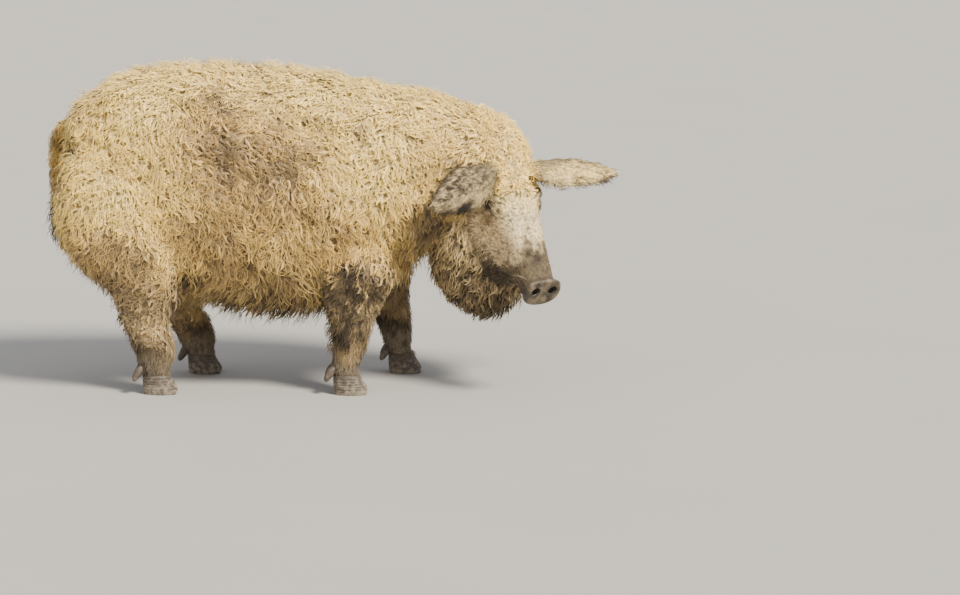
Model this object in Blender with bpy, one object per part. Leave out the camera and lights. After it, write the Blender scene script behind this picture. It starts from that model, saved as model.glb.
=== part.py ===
"""Mangalica pig, a still life-size model of the whole animal.

The pig stands along X with its head towards +X, its left side towards +Y and its soles on z = 0.
The origin is the middle of the whole animal's outline seen from above, on the ground.
The head hangs down and is turned to the pig's right.  Every solid reaches the tips of the wool.
Each sub-part is a loft of rings.  Where two sub-parts meet, the one that carries the other is
cut by a copy of it grown by GAP, so that neighbours keep a gap and never overlap.
"""
from math import cos, pi, radians, sin

import bpy
import numpy as np
from mathutils import Matrix, Vector

# ---- driving dimensions, metres -------------------------------------------------------------
GAP = 0.0003                    # space kept between two neighbouring sub-parts

# trunk and neck: x, y, z of the ring's centre, half width, height above and below the centre,
# and how far the ring's plane is turned down (pitch) and to the pig's right (yaw), degrees
BODY = np.array([
    (-0.500, 0.000, 0.490, 0.184, 0.238, 0.215, 0, 0),
    (-0.390, 0.000, 0.500, 0.216, 0.284, 0.265, 0, 0),
    (-0.220, 0.000, 0.490, 0.238, 0.309, 0.298, 0, 0),
    (-0.040, 0.000, 0.475, 0.246, 0.318, 0.316, 0, 0),
    (0.100, 0.000, 0.480, 0.238, 0.287, 0.297, 0, 0),
    (0.210, 0.000, 0.495, 0.222, 0.252, 0.245, 0, 0),
    (0.300, 0.000, 0.505, 0.200, 0.229, 0.212, 6, 4),
    (0.370, -0.012, 0.500, 0.180, 0.208, 0.195, 16, 14),
    (0.430, -0.035, 0.490, 0.155, 0.180, 0.170, 26, 26),
    (0.475, -0.062, 0.475, 0.110, 0.125, 0.120, 36, 36)])
BODY_ROUND = 2.25               # 2 is an ellipse, more is squarer
BODY_POINTS = 20                # points round each ring
RUMP_X = -0.592                 # rearmost wool of the trunk
NECK_JOIN = 6.0                 # number of the station where the neck meets the trunk

# head: its own axes run forward out of the snout (yaw and pitch below), dorsal and left
SNOUT = np.array((0.583, -0.240, 0.263))        # middle of the snout disc
HEAD_YAW = radians(57)
HEAD_PITCH = radians(50)
# distance behind the snout, half width, height above and below the axis, jowl swelling
HEAD = np.array([
    (0.006, 0.047, 0.036, 0.037, 0.00),
    (0.022, 0.044, 0.037, 0.042, 0.00),
    (0.055, 0.049, 0.042, 0.056, 0.00),
    (0.085, 0.053, 0.048, 0.072, 0.05),
    (0.115, 0.057, 0.053, 0.140, 0.30),
    (0.160, 0.063, 0.061, 0.235, 0.85),
    (0.215, 0.074, 0.074, 0.275, 1.30),
    (0.240, 0.088, 0.100, 0.285, 1.25),
    (0.300, 0.104, 0.122, 0.295, 1.00),
    (0.370, 0.118, 0.127, 0.235, 0.50),
    (0.440, 0.110, 0.106, 0.150, 0.15),
    (0.475, 0.085, 0.078, 0.090, 0.00)])
HEAD_ROUND = 2.2
HEAD_POINTS = 20
POLL_ROUNDING = 0.030           # how far the head's back end bulges past its last ring
JOWL_HANG = 0.36                # forward swing of the jowls and throat, which hang straight down
JOWL_FROM = (0.085, 0.160)      # the swing grows to its full share over this stretch
SNOUT_LIFT = radians(16)        # the disc faces this much higher than the head's axis
SNOUT_LIFT_REACH = 0.11         # length of muzzle over which that turn fades out
DISC = (0.050, 0.037, 0.012)    # snout disc: half width, half height, thickness
DISC_EDGE = ((0.0, 0.93), (0.20, 1.0), (0.75, 1.0), (0.95, 0.94), (1.0, 0.84))  # rise, size
JAW_BACK = (0.030, 0.155)       # lower jaw: where it starts and ends behind the snout
JAW_DORSAL = (-0.300, -0.026)   # from below the jowl up to the line of the mouth
JAW_SIDE = 0.200

EYE = (0.219, 0.030, 0.0605)    # behind the snout, dorsal, to the side
EYE_RADIUS = 0.0125

EAR_ROOT = (0.290, 0.082, 0.054)            # behind the snout, dorsal, to the side
EAR_REACH = {"right": (0.064, -0.023, 0.183), "left": (0.068, 0.069, 0.177)}  # tip from root
EAR_LEAF = np.array([                       # share of length, half width, half thickness
    (0.00, 0.026, 0.018), (0.20, 0.043, 0.013), (0.42, 0.052, 0.0085),
    (0.66, 0.046, 0.0070), (0.87, 0.029, 0.0060), (1.00, 0.012, 0.0045)])
EAR_SHARES = (0.0, 0.12, 0.24, 0.38, 0.54, 0.70, 0.84, 0.94, 1.0)
EAR_WIDEST = EAR_LEAF[:, 1].max()
EAR_CUP = 0.020                             # how far the rims curl under at the widest place
EAR_ARCH = 0.014                            # how far the ear bows upward along its length
EAR_BACK = (-0.838, 0.348, 0.420)           # the leaf's width: forward, dorsal, outward parts
EAR_ROLL = {"right": 0.0, "left": radians(33)}  # how far the leaf's face is rolled skyward

# legs, ring by ring: x, y of a right leg, z, half length, half width
FORE = np.array([
    (0.135, -0.105, 0.420, 0.085, 0.070), (0.140, -0.128, 0.360, 0.115, 0.088),
    (0.141, -0.140, 0.290, 0.115, 0.088), (0.136, -0.141, 0.235, 0.095, 0.072),
    (0.131, -0.139, 0.185, 0.071, 0.056), (0.128, -0.137, 0.130, 0.049, 0.046),
    (0.121, -0.136, 0.088, 0.041, 0.040), (0.114, -0.136, 0.060, 0.039, 0.039),
    (0.117, -0.136, 0.048, 0.040, 0.038)])
HIND = np.array([
    (-0.415, -0.085, 0.620, 0.080, 0.060), (-0.430, -0.118, 0.550, 0.138, 0.096),
    (-0.430, -0.134, 0.465, 0.160, 0.104), (-0.416, -0.138, 0.380, 0.164, 0.104),
    (-0.388, -0.138, 0.310, 0.141, 0.094), (-0.364, -0.135, 0.240, 0.096, 0.074),
    (-0.365, -0.132, 0.178, 0.067, 0.053), (-0.349, -0.131, 0.130, 0.056, 0.047),
    (-0.341, -0.130, 0.090, 0.051, 0.043), (-0.342, -0.130, 0.062, 0.045, 0.042),
    (-0.340, -0.130, 0.048, 0.043, 0.039)])
LEG_TABLES = {"fore": FORE, "hind": HIND}
LEG_ROUND = 2.15
LEG_JOINT = {"fore": 0.150, "hind": 0.180}  # height of knee and hock, where the lower leg starts
LEFT_STEP = {"fore": 0.142, "hind": 0.100}  # how far each left foot stands ahead of the right
STEP_TOP = 0.34                 # height where a leg's step forward begins

CLAW = (0.078, 0.0165, 0.0475)  # length, half width, height of one toe's hoof
CLAW_RINGS = ((0.0, 1.0, 0.98, 0.010), (0.10, 1.02, 1.0, 0.010),
              (0.55, 0.90, 1.0, 0.004), (1.0, 0.74, 0.95, -0.001))  # rise, length, width, shift
CLAW_TAPER = 0.30               # how much narrower the toe's tip is
CLAW_APART = 0.0195             # half the distance between the two toes' middles
CLAW_SPLAY = radians(5)
DEWCLAW_LENGTH = 0.040
DEWCLAW_RADIUS = 0.010
DEWCLAW_RINGS = ((0.0, 0.75), (0.35, 1.0), (0.75, 0.82), (1.0, 0.40))   # share of length, size
DEWCLAW_PLACE = (0.012, 0.020, 0.066)       # ahead of the foot's back, beside its middle, height
DEWCLAW_WAY = (-0.62, 0.25, -0.72)          # back, outward and down

# tail: x, y, z and radius down its length, wool included
TAIL = np.array([
    (-0.535, 0.000, 0.640, 0.020), (-0.572, 0.004, 0.622, 0.022),
    (-0.586, 0.012, 0.570, 0.020), (-0.588, 0.020, 0.500, 0.018),
    (-0.586, 0.022, 0.430, 0.022), (-0.576, 0.016, 0.370, 0.026), (-0.572, 0.010, 0.330, 0.010)])

# finishes: base colour (linear) and roughness
FINISHES = {
    "wool": ((0.74, 0.60, 0.36), 0.95),
    "face_hair": ((0.55, 0.50, 0.42), 0.90),
    "ear_hair": ((0.40, 0.36, 0.30), 0.90),
    "leg_hair": ((0.36, 0.31, 0.23), 0.95),
    "hoof_horn": ((0.045, 0.040, 0.036), 0.55),
    "snout_skin": ((0.16, 0.14, 0.12), 0.45),
    "eye": ((0.03, 0.018, 0.012), 0.10)}

SIDES = {"left": 1.0, "right": -1.0}
TOES = {"outer": 1.0, "inner": -1.0}


def clear_scene():
    """Remove every object, so that the file holds the pig alone."""
    for thing in list(bpy.data.objects):
        bpy.data.objects.remove(thing, do_unlink=True)


def make_finishes():
    """One plain Principled material for each kind of surface."""
    made = {}
    for name, (colour, roughness) in FINISHES.items():
        made[name] = bpy.data.materials.new(name)
        made[name].use_nodes = True
        shader = made[name].node_tree.nodes["Principled BSDF"]
        shader.inputs["Base Color"].default_value = (*colour, 1.0)
        shader.inputs["Roughness"].default_value = roughness
        shader.inputs["Metallic"].default_value = 0.0
    return made


def smooth_through(knots, table, at):
    """Curve through table's rows: a cubic between neighbours whose slopes never overshoot."""
    knots = np.asarray(knots, float)
    table = np.asarray(table, float)
    at = np.atleast_1d(np.asarray(at, float))
    step = np.diff(knots)[:, None]
    rise = np.diff(table, axis=0) / step
    before, after = rise[:-1], rise[1:]
    together = before * after > 0
    share = np.where(together, before * after, 0.0)
    total = np.where(together, before + after, 1.0)
    slope = np.vstack([rise[:1], 2.0 * share / total, rise[-1:]])
    place = np.clip(np.searchsorted(knots, at) - 1, 0, len(knots) - 2)
    t = ((at - knots[place]) / np.diff(knots)[place])[:, None]
    span = step[place]
    return ((2 * t**3 - 3 * t**2 + 1) * table[place]
            + (t**3 - 2 * t**2 + t) * span * slope[place]
            + (3 * t**2 - 2 * t**3) * table[place + 1]
            + (t**3 - t**2) * span * slope[place + 1])


def oval(count, roundness):
    """Unit superellipse: across and up values of count points, counter-clockwise."""
    turn = np.arange(count) * 2.0 * pi / count
    power = 2.0 / roundness
    across = np.sign(np.cos(turn)) * np.abs(np.cos(turn)) ** power
    upward = np.sign(np.sin(turn)) * np.abs(np.sin(turn)) ** power
    return across, upward


def unit(vector):
    """The vector at length 1."""
    vector = np.asarray(vector, float)
    return vector / np.linalg.norm(vector)


def lofted(name, rings, finish=None):
    """Closed body whose skin runs through rings; each end is a fan about its ring's middle."""
    rings = np.asarray(rings)
    count, around = rings.shape[:2]
    points = np.vstack([rings.reshape(-1, 3), rings[0].mean(axis=0), rings[-1].mean(axis=0)])
    last = (count - 1) * around
    faces = []
    for k in range(around):
        nxt = (k + 1) % around
        for low in range(0, last, around):
            faces.append((low + k, low + nxt, low + around + nxt))
            faces.append((low + k, low + around + nxt, low + around + k))
        faces.append((nxt, k, count * around))
        faces.append((last + k, last + nxt, count * around + 1))
    mesh = bpy.data.meshes.new(name)
    mesh.from_pydata(points.tolist(), [], faces)
    turn_outward(mesh)
    mesh.shade_smooth()
    mesh.set_sharp_from_angle(angle=radians(50))
    body = bpy.data.objects.new(name, mesh)
    bpy.context.collection.objects.link(body)
    if finish:
        mesh.materials.append(MATERIALS[finish])
    return body


def turn_outward(mesh):
    """Flip a closed mesh whose signed volume shows that its faces point inwards."""
    volume = 0.0
    for face in mesh.polygons:
        first, second, third = (Vector(mesh.vertices[v].co) for v in face.vertices)
        volume += first.dot(second.cross(third))
    if volume < 0.0:
        mesh.flip_normals()


def cut(body, tool, operation="DIFFERENCE"):
    """Boolean body with tool, which stays in the file as a hidden guide."""
    tool.hide_render = True
    tool.display_type = "WIRE"
    step = body.modifiers.new(tool.name, "BOOLEAN")
    step.operation = operation
    step.solver = "EXACT"
    step.object = tool


# ---- trunk and neck -------------------------------------------------------------------------
def body_ring(station, ahead=0.0):
    """One ring of trunk or neck: a superellipse, taller below or above, in a turned plane."""
    x, y, z, half_width, above, below, pitch, yaw = smooth_through(range(len(BODY)), BODY, station)[0]
    pitch, yaw = radians(pitch), radians(yaw)
    left = np.array((sin(yaw), cos(yaw), 0.0))
    up = np.array((sin(pitch) * cos(yaw), -sin(pitch) * sin(yaw), cos(pitch)))
    centre = np.array((x, y, z)) + np.cross(left, up) * ahead
    across, upward = oval(BODY_POINTS, BODY_ROUND)
    height = np.where(upward > 0, above, below) * upward
    return centre + np.outer(across * half_width, left) + np.outer(height, up)


def rump_rings():
    """The rump closes as a quarter of an ellipse from the first station back to RUMP_X."""
    edge = body_ring(0)
    middle = BODY[0, :3]
    reach = middle[0] - RUMP_X
    rings = []
    for turn in np.radians((14, 34, 54, 72)):
        ring = middle + (edge - middle) * sin(turn)
        ring[:, 0] = middle[0] - reach * cos(turn)
        rings.append(ring)
    return rings


def trunk_and_neck():
    """Two bodies from one row of rings, parted by a flat gap at NECK_JOIN."""
    trunk_rings = [body_ring(t) for t in np.linspace(0.0, NECK_JOIN, 13)]
    neck_rings = [body_ring(t) for t in np.linspace(NECK_JOIN, len(BODY) - 1, 7)[1:]]
    trunk_body = lofted("trunk", rump_rings() + trunk_rings, "wool")
    neck_body = lofted("neck", [body_ring(NECK_JOIN, ahead=GAP)] + neck_rings, "wool")
    return trunk_body, neck_body


# ---- head -----------------------------------------------------------------------------------
FORWARD = np.array((cos(HEAD_PITCH) * cos(HEAD_YAW), -cos(HEAD_PITCH) * sin(HEAD_YAW), -sin(HEAD_PITCH)))
LEFT = np.array((sin(HEAD_YAW), cos(HEAD_YAW), 0.0))
DORSAL = np.cross(FORWARD, LEFT)


def in_head(back, dorsal, left):
    """Point from the head's own axes: metres behind the snout, dorsal and to the left."""
    return SNOUT - FORWARD * back + DORSAL * dorsal + LEFT * left


def lifted(back):
    """Dorsal and forward directions this far behind the snout, turned up towards the disc."""
    fade = max(0.0, 1.0 - back / SNOUT_LIFT_REACH)
    lean = SNOUT_LIFT * fade * fade * (3.0 - 2.0 * fade)
    return DORSAL * cos(lean) - FORWARD * sin(lean), FORWARD * cos(lean) + DORSAL * sin(lean)


def head_ring(back, grow):
    """One ring of the head: a superellipse whose lower half swells and swings into the jowls."""
    half_width, above, below, jowl = smooth_through(HEAD[:, 0], HEAD[:, 1:], back)[0]
    across, upward = oval(HEAD_POINTS, HEAD_ROUND)
    dorsal, _ = lifted(back)
    swell = 1.0 + jowl * np.clip(-upward, 0.0, 1.0)
    height = np.where(upward > 0, above + grow, below + grow) * upward
    share = np.clip((back - JOWL_FROM[0]) / (JOWL_FROM[1] - JOWL_FROM[0]), 0.0, 1.0)
    swing = np.clip(-height, 0.0, None) * JOWL_HANG * share
    return (SNOUT - FORWARD * back + np.outer(across * swell * (half_width + grow), LEFT)
            + np.outer(height, dorsal) + np.outer(swing, FORWARD))


def head_body(name, grow=0.0, finish=None):
    """Head from behind the snout disc to the poll, where its back end is rounded off."""
    front, chin, back = HEAD[0, 0] + GAP, JOWL_FROM[0], HEAD[-1, 0]
    places = np.concatenate([np.linspace(front, chin, 6), np.linspace(chin + 0.010, back, 13)])
    rings = [head_ring(place, grow) for place in places]
    rings[0] = rings[0] + FORWARD * grow
    last = rings[-1]
    middle = last.mean(axis=0)
    for turn in np.radians((35, 65)):
        bulge = FORWARD * (POLL_ROUNDING + grow) * sin(turn)
        rings.append(middle + (last - middle) * cos(turn) - bulge)
    return lofted(name, rings, finish)


def snout_disc():
    """Round gristle plate on the muzzle's end, its rim rolled over."""
    dorsal, forward = lifted(0.0)
    half_width, half_height, thick = DISC
    across, upward = oval(20, 2.3)
    flat = np.outer(across * half_width, LEFT) + np.outer(upward * half_height, dorsal)
    start = SNOUT - FORWARD * HEAD[0, 0] + forward * GAP
    rings = [start + flat * size + forward * thick * rise for rise, size in DISC_EDGE]
    return lofted("snout_disc", rings, "snout_skin")


def jaw_region(name, grow=0.0):
    """Box in the head's axes that parts the lower jaw from the head along the mouth."""
    deep, mouth = JAW_DORSAL
    corners = ((deep, -JAW_SIDE), (deep, JAW_SIDE), (mouth + grow, JAW_SIDE), (mouth + grow, -JAW_SIDE))
    rings = [[in_head(back, dorsal, left) for dorsal, left in corners]
             for back in (JAW_BACK[0] - grow, JAW_BACK[1] + grow)]
    return lofted(name, rings)


def lower_jaw(head_solid):
    """Lower jaw with its jowl: the part of the head's shape that lies inside the jaw's box."""
    jaw = head_body("lower_jaw", finish="face_hair")
    cut(jaw, jaw_region("guide_jaw"), "INTERSECT")
    cut(head_solid, jaw_region("guide_jaw_room", GAP))


def ball(name, centre, radius, finish=None):
    """Eyeball: a sphere of rings."""
    across, upward = oval(12, 2.0)
    flat = np.outer(across, (1, 0, 0)) + np.outer(upward, (0, 1, 0))
    rings = [centre + flat * radius * sin(turn) + np.array((0, 0, -radius * cos(turn)))
             for turn in np.radians(np.linspace(10, 170, 7))]
    return lofted(name, rings, finish)


def eye(side, head_solid):
    """Eye in a socket of its own size."""
    centre = in_head(EYE[0], EYE[1], SIDES[side] * EYE[2])
    ball("eye_" + side, centre, EYE_RADIUS, "eye")
    cut(head_solid, ball("guide_eye_" + side, centre, EYE_RADIUS + GAP))


def ear_leaf(side, name, grow=0.0, finish=None):
    """Broad leaf on a short stem: it bows along its length and its rims curl under."""
    sign = SIDES[side]
    fore, dorsal, out = EAR_REACH[side]
    along = FORWARD * fore + DORSAL * dorsal + LEFT * sign * out
    wide = FORWARD * EAR_BACK[0] + DORSAL * EAR_BACK[1] + LEFT * sign * EAR_BACK[2]
    wide = unit(wide - along * wide.dot(along) / along.dot(along))
    face = unit(np.cross(wide, along))
    face *= np.sign(face.dot(DORSAL))
    roll = EAR_ROLL[side]
    wide, face = wide * cos(roll) - face * sin(roll), face * cos(roll) + wide * sin(roll)
    root = in_head(EAR_ROOT[0], EAR_ROOT[1], sign * EAR_ROOT[2])
    across, upward = oval(16, 2.0)
    rings = []
    for share, (half_width, half_thick) in zip(
            EAR_SHARES, smooth_through(EAR_LEAF[:, 0], EAR_LEAF[:, 1:], EAR_SHARES)):
        middle = root + along * share + face * EAR_ARCH * sin(pi * share)
        cup = EAR_CUP * half_width / EAR_WIDEST
        rings.append(middle + np.outer(across * (half_width + grow), wide)
                     + np.outer(upward * (half_thick + grow) - cup * across**2, face))
    rings[0] = rings[0] - unit(along) * grow
    return lofted(name, rings, finish)


def ear(side, carriers):
    """Ear let into the side of the head and, where it leans back, into the neck's wool."""
    ear_leaf(side, "ear_" + side, finish="ear_hair")
    for carrier in carriers:
        cut(carrier, ear_leaf(side, "_".join(("guide_ear", side, carrier.name)), GAP))


# ---- legs and feet --------------------------------------------------------------------------
def leg_table(which, side):
    """Rings of one leg; a left leg is mirrored and steps further forward towards its foot."""
    table = LEG_TABLES[which].copy()
    if side == "left":
        table[:, 1] *= -1.0
        down = np.clip((STEP_TOP - table[:, 2]) / STEP_TOP, 0.0, 1.0)
        table[:, 0] += LEFT_STEP[which] * down ** 0.8
    return table


def leg_rings(table, heights, grow=0.0, around=16):
    """Horizontal ovals of the leg at these heights."""
    across, upward = oval(around, LEG_ROUND)
    rows = smooth_through(-table[:, 2], table, -np.asarray(heights))
    return [np.column_stack([x + across * (a + grow), y + upward * (b + grow), np.full(around, z)])
            for x, y, z, a, b in rows]


def leg(which, side, trunk_solid):
    """Upper leg, let into the trunk, and lower leg; returns the lower one."""
    table = leg_table(which, side)
    top, bottom, joint = table[0, 2], table[-1, 2], LEG_JOINT[which]
    heights = np.linspace(top, joint, 9)
    lofted("_".join((which + "leg", "upper", side)), leg_rings(table, heights), "wool")
    heights[0] = top + GAP
    heights[-1] = joint - GAP
    cut(trunk_solid, lofted("_".join(("guide", which, side)), leg_rings(table, heights, GAP)))
    lower_at = np.linspace(joint - GAP, bottom, 5)
    return lofted("_".join((which + "leg", "lower", side)), leg_rings(table, lower_at), "leg_hair")


def claw(which, side, toe):
    """Hoof of one toe: a flat sole, a rounded tip and walls that lean in to the coronet."""
    x, y = leg_table(which, side)[-1, :2]
    length, half_width, height = CLAW
    sign = SIDES[side] * TOES[toe]
    turn = sign * CLAW_SPLAY
    around = np.arange(12) * 2.0 * pi / 12
    taper = 1.0 - CLAW_TAPER * np.clip(np.cos(around), 0.0, 1.0) ** 2
    rings = []
    for rise, long, wide, shift in CLAW_RINGS:
        ahead = np.cos(around) * length / 2 * long
        aside = np.sin(around) * half_width * wide * taper
        rings.append(np.column_stack([
            x + shift + ahead * cos(turn) - aside * sin(turn),
            y + sign * CLAW_APART + ahead * sin(turn) + aside * cos(turn),
            np.full(len(around), rise * height)]))
    return lofted("_".join((which + "hoof", toe, side)), rings, "hoof_horn")


def dewclaw_rings(which, side, toe, grow=0.0):
    """Rings of the short horn behind the foot, from its root down to its tip."""
    x, y, _, half_length, _ = leg_table(which, side)[-1]
    ahead, beside, height = DEWCLAW_PLACE
    sign = SIDES[side] * TOES[toe]
    start = np.array((x - half_length + ahead, y + sign * beside, height))
    way = unit((DEWCLAW_WAY[0], sign * DEWCLAW_WAY[1], DEWCLAW_WAY[2]))
    first = unit(np.cross(way, (0.0, 0.0, 1.0)))
    across, upward = oval(8, 2.0)
    flat = np.outer(across, first) + np.outer(upward, np.cross(way, first))
    rings = [start + way * share * DEWCLAW_LENGTH + flat * (DEWCLAW_RADIUS * size + grow)
             for share, size in DEWCLAW_RINGS]
    rings[0] = rings[0] - way * grow
    rings[-1] = rings[-1] + way * grow
    return rings


def dewclaw(which, side, toe, lower_leg):
    """Short horn that hangs clear of the ground, let into the back of the lower leg."""
    name = "_".join((which, "dewclaw", toe, side))
    lofted(name, dewclaw_rings(which, side, toe), "hoof_horn")
    cut(lower_leg, lofted("guide_" + name, dewclaw_rings(which, side, toe, GAP)))


# ---- tail -----------------------------------------------------------------------------------
def tail_body(name, grow=0.0, finish=None):
    """Thin tail with a tuft at its end, hanging between the hams."""
    rows = smooth_through(range(len(TAIL)), TAIL, np.linspace(0, len(TAIL) - 1, 11))
    ways = np.gradient(rows[:, :3], axis=0)
    across, upward = oval(10, 2.0)
    rings = []
    for row, way in zip(rows, ways):
        first = unit(np.cross(way, (1.0, 0.3, 0.0)))
        flat = np.outer(across, first) + np.outer(upward, np.cross(unit(way), first))
        rings.append(row[:3] + flat * (row[3] + grow))
    rings[0] = rings[0] - unit(ways[0]) * grow
    rings[-1] = rings[-1] + unit(ways[-1]) * grow
    return lofted(name, rings, finish)


def centre_on_ground():
    """Move everything so that the origin is the middle of the outline seen from above."""
    solids = [thing for thing in bpy.context.scene.objects if not thing.hide_render]
    points = np.array([corner.co for thing in solids for corner in thing.data.vertices])
    middle = (points.min(axis=0) + points.max(axis=0)) / 2.0
    for thing in bpy.context.scene.objects:
        thing.data.transform(Matrix.Translation((-middle[0], -middle[1], 0.0)))


# ---- build ----------------------------------------------------------------------------------
clear_scene()
MATERIALS = make_finishes()

trunk, neck = trunk_and_neck()
head = head_body("head", finish="face_hair")
for holder in (neck, trunk):
    cut(holder, head_body("guide_head_in_" + holder.name, GAP))
lower_jaw(head)
snout_disc()
for side in SIDES:
    eye(side, head)
    ear(side, (head, neck))
    for which in LEG_TABLES:
        lower = leg(which, side, trunk)
        for toe in TOES:
            claw(which, side, toe)
            dewclaw(which, side, toe, lower)
tail_body("tail", finish="wool")
cut(trunk, tail_body("guide_tail", GAP))
centre_on_ground()
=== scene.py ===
"""Mangalica pig, a still life-size model: one skin under a thick coat of curled wool."""
from math import cos, pi, radians, sin

import bpy
import numpy as np
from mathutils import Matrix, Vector
from mathutils.bvhtree import BVHTree


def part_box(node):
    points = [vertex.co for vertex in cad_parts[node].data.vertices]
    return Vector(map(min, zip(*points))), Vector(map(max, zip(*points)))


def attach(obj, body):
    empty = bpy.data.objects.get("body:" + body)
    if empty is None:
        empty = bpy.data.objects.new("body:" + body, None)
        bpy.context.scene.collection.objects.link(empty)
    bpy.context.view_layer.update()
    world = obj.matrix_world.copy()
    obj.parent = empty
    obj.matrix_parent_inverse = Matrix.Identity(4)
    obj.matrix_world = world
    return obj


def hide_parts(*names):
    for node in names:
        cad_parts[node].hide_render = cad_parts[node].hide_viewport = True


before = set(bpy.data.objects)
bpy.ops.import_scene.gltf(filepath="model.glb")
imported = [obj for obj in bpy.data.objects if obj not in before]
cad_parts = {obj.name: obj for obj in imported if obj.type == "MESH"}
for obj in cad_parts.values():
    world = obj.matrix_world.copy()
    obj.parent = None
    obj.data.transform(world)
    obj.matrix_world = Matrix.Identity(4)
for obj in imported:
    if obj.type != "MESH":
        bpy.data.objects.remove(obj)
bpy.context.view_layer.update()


# ---- studio ---------------------------------------------------------------------------------
# A plain pale floor, one broad soft lamp high on the pig's head side, a weaker one on the
# other side and an even pale sky.  The camera stands at the pig's right, ten degrees above it.
AIM = Vector((0.3604, 0.0214, 0.209))
CAMERA_AWAY = 9.0
CAMERA_RISE = radians(10)
PIXEL = 0.00243                     # metres of pig to one pixel of the picture
PICTURE_WIDTH = 960
SENSOR = 36.0


def placed(name, data):
    """New object of this data, linked to the scene at the origin."""
    thing = bpy.data.objects.new(name, data)
    bpy.context.collection.objects.link(thing)
    return thing


camera_data = bpy.data.cameras.new("camera")
camera_data.sensor_width = SENSOR
camera_data.lens = SENSOR * CAMERA_AWAY / (PIXEL * PICTURE_WIDTH)
camera = placed("camera", camera_data)
camera.location = AIM + CAMERA_AWAY * Vector((0.0, -cos(CAMERA_RISE), sin(CAMERA_RISE)))
camera.rotation_euler = (pi / 2 - CAMERA_RISE, 0.0, 0.0)
bpy.context.scene.camera = camera


def lamp(name, place, power, spread_angle, colour):
    """Distant soft lamp that shines from place towards the pig's middle; its power is in W/m2."""
    data = bpy.data.lights.new(name, "SUN")
    data.angle = spread_angle
    data.energy = power
    data.color = colour
    thing = placed(name, data)
    thing.location = place
    thing.rotation_euler = Vector(place).to_track_quat("Z", "Y").to_euler()


lamp("key_lamp", (3.2, -3.3, 4.6), 8.3, radians(16), (1.0, 0.93, 0.80))
lamp("fill_lamp", (-3.5, -3.5, 2.0), 0.5, radians(60), (0.93, 0.96, 1.0))

world = bpy.data.worlds.new("sky")
world.use_nodes = True
world.node_tree.nodes["Background"].inputs["Color"].default_value = (0.95, 0.96, 1.0, 1.0)
world.node_tree.nodes["Background"].inputs["Strength"].default_value = 0.85
bpy.context.scene.world = world


def linear(red, green, blue):
    """Screen colour, 0 to 255 a channel, as a linear colour."""
    share = np.array((red, green, blue)) / 255.0
    return np.where(share <= 0.04045, share / 12.92, ((share + 0.055) / 1.055) ** 2.4)


class Nodes:
    """Short way to build a material's node tree: each call makes one node and links its inputs."""

    def __init__(self, name):
        self.material = bpy.data.materials.new(name)
        self.material.use_nodes = True
        self.tree = self.material.node_tree
        self.shader = self.tree.nodes["Principled BSDF"]

    def make(self, kind, inputs=(), **settings):
        """Node of this kind with its settings; inputs maps sockets to values or other sockets."""
        node = self.tree.nodes.new("ShaderNode" + kind)
        for key, value in settings.items():
            setattr(node, key, value)
        for key, value in dict(inputs).items():
            self.put(node.inputs[key], value)
        return node.outputs

    def put(self, socket, value):
        """Link an output socket to an input socket, or set the input's own value."""
        if isinstance(value, bpy.types.NodeSocket):
            self.tree.links.new(value, socket)
        elif isinstance(value, (tuple, list, np.ndarray)) and len(value) == 3 and socket.type == "RGBA":
            socket.default_value = (*value, 1.0)
        else:
            socket.default_value = value

    def stored(self, name, output="Fac"):
        """The mesh's attribute of this name."""
        return self.make("Attribute", attribute_name=name)[output]

    def noise(self, vector, scale, detail=3.0, rough=0.5):
        """Fractal noise, 0 to 1, of this many cells a metre."""
        return self.make("TexNoise", {"Vector": vector, "Scale": scale, "Detail": detail,
                                      "Roughness": rough})["Fac"]

    def ramp(self, value, low, high, to_low=0.0, to_high=1.0):
        """Straight-line map of value from low..high to to_low..to_high, held at both ends."""
        return self.make("MapRange", {"Value": value, "From Min": low, "From Max": high,
                                      "To Min": to_low, "To Max": to_high})["Result"]

    def blend(self, kind, share, first, second):
        """Two colours mixed or multiplied."""
        node = self.tree.nodes.new("ShaderNodeMix")
        node.data_type = "RGBA"
        node.blend_type = kind
        colours = [socket for socket in node.inputs if socket.type == "RGBA"]
        self.put(node.inputs["Factor"], share)
        self.put(colours[0], first)
        self.put(colours[1], second)
        return [socket for socket in node.outputs if socket.type == "RGBA"][0]

    def bump(self, height, distance, strength=1.0, normal=None):
        """Bump from a height of 0 to 1 that stands for this many metres."""
        sockets = {"Height": height, "Distance": distance, "Strength": strength}
        if normal is not None:
            sockets["Normal"] = normal
        return self.make("Bump", sockets)["Normal"]

    def finish(self, **inputs):
        """Set the shader's inputs by name, underscores for spaces, and give the material."""
        for key, value in inputs.items():
            self.put(self.shader.inputs[key.replace("_", " ")], value)
        return self.material


FLOOR_HALF = 30.0
FLOOR_LEVEL = -0.0004               # just under the soles, so that no two faces share a plane
floor_mesh = bpy.data.meshes.new("floor")
floor_mesh.from_pydata([(x * FLOOR_HALF, y * FLOOR_HALF, FLOOR_LEVEL)
                        for x, y in ((-1, -1), (1, -1), (1, 1), (-1, 1))], [], [(0, 1, 2, 3)])
floor = placed("floor", floor_mesh)
nodes = Nodes("pale_floor")
place = nodes.make("TexCoord")["Object"]
floor_mesh.materials.append(nodes.finish(
    Base_Color=nodes.blend("MIX", nodes.noise(place, 1.3), linear(158, 156, 152), linear(166, 164, 160)),
    Roughness=0.9))


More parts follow.
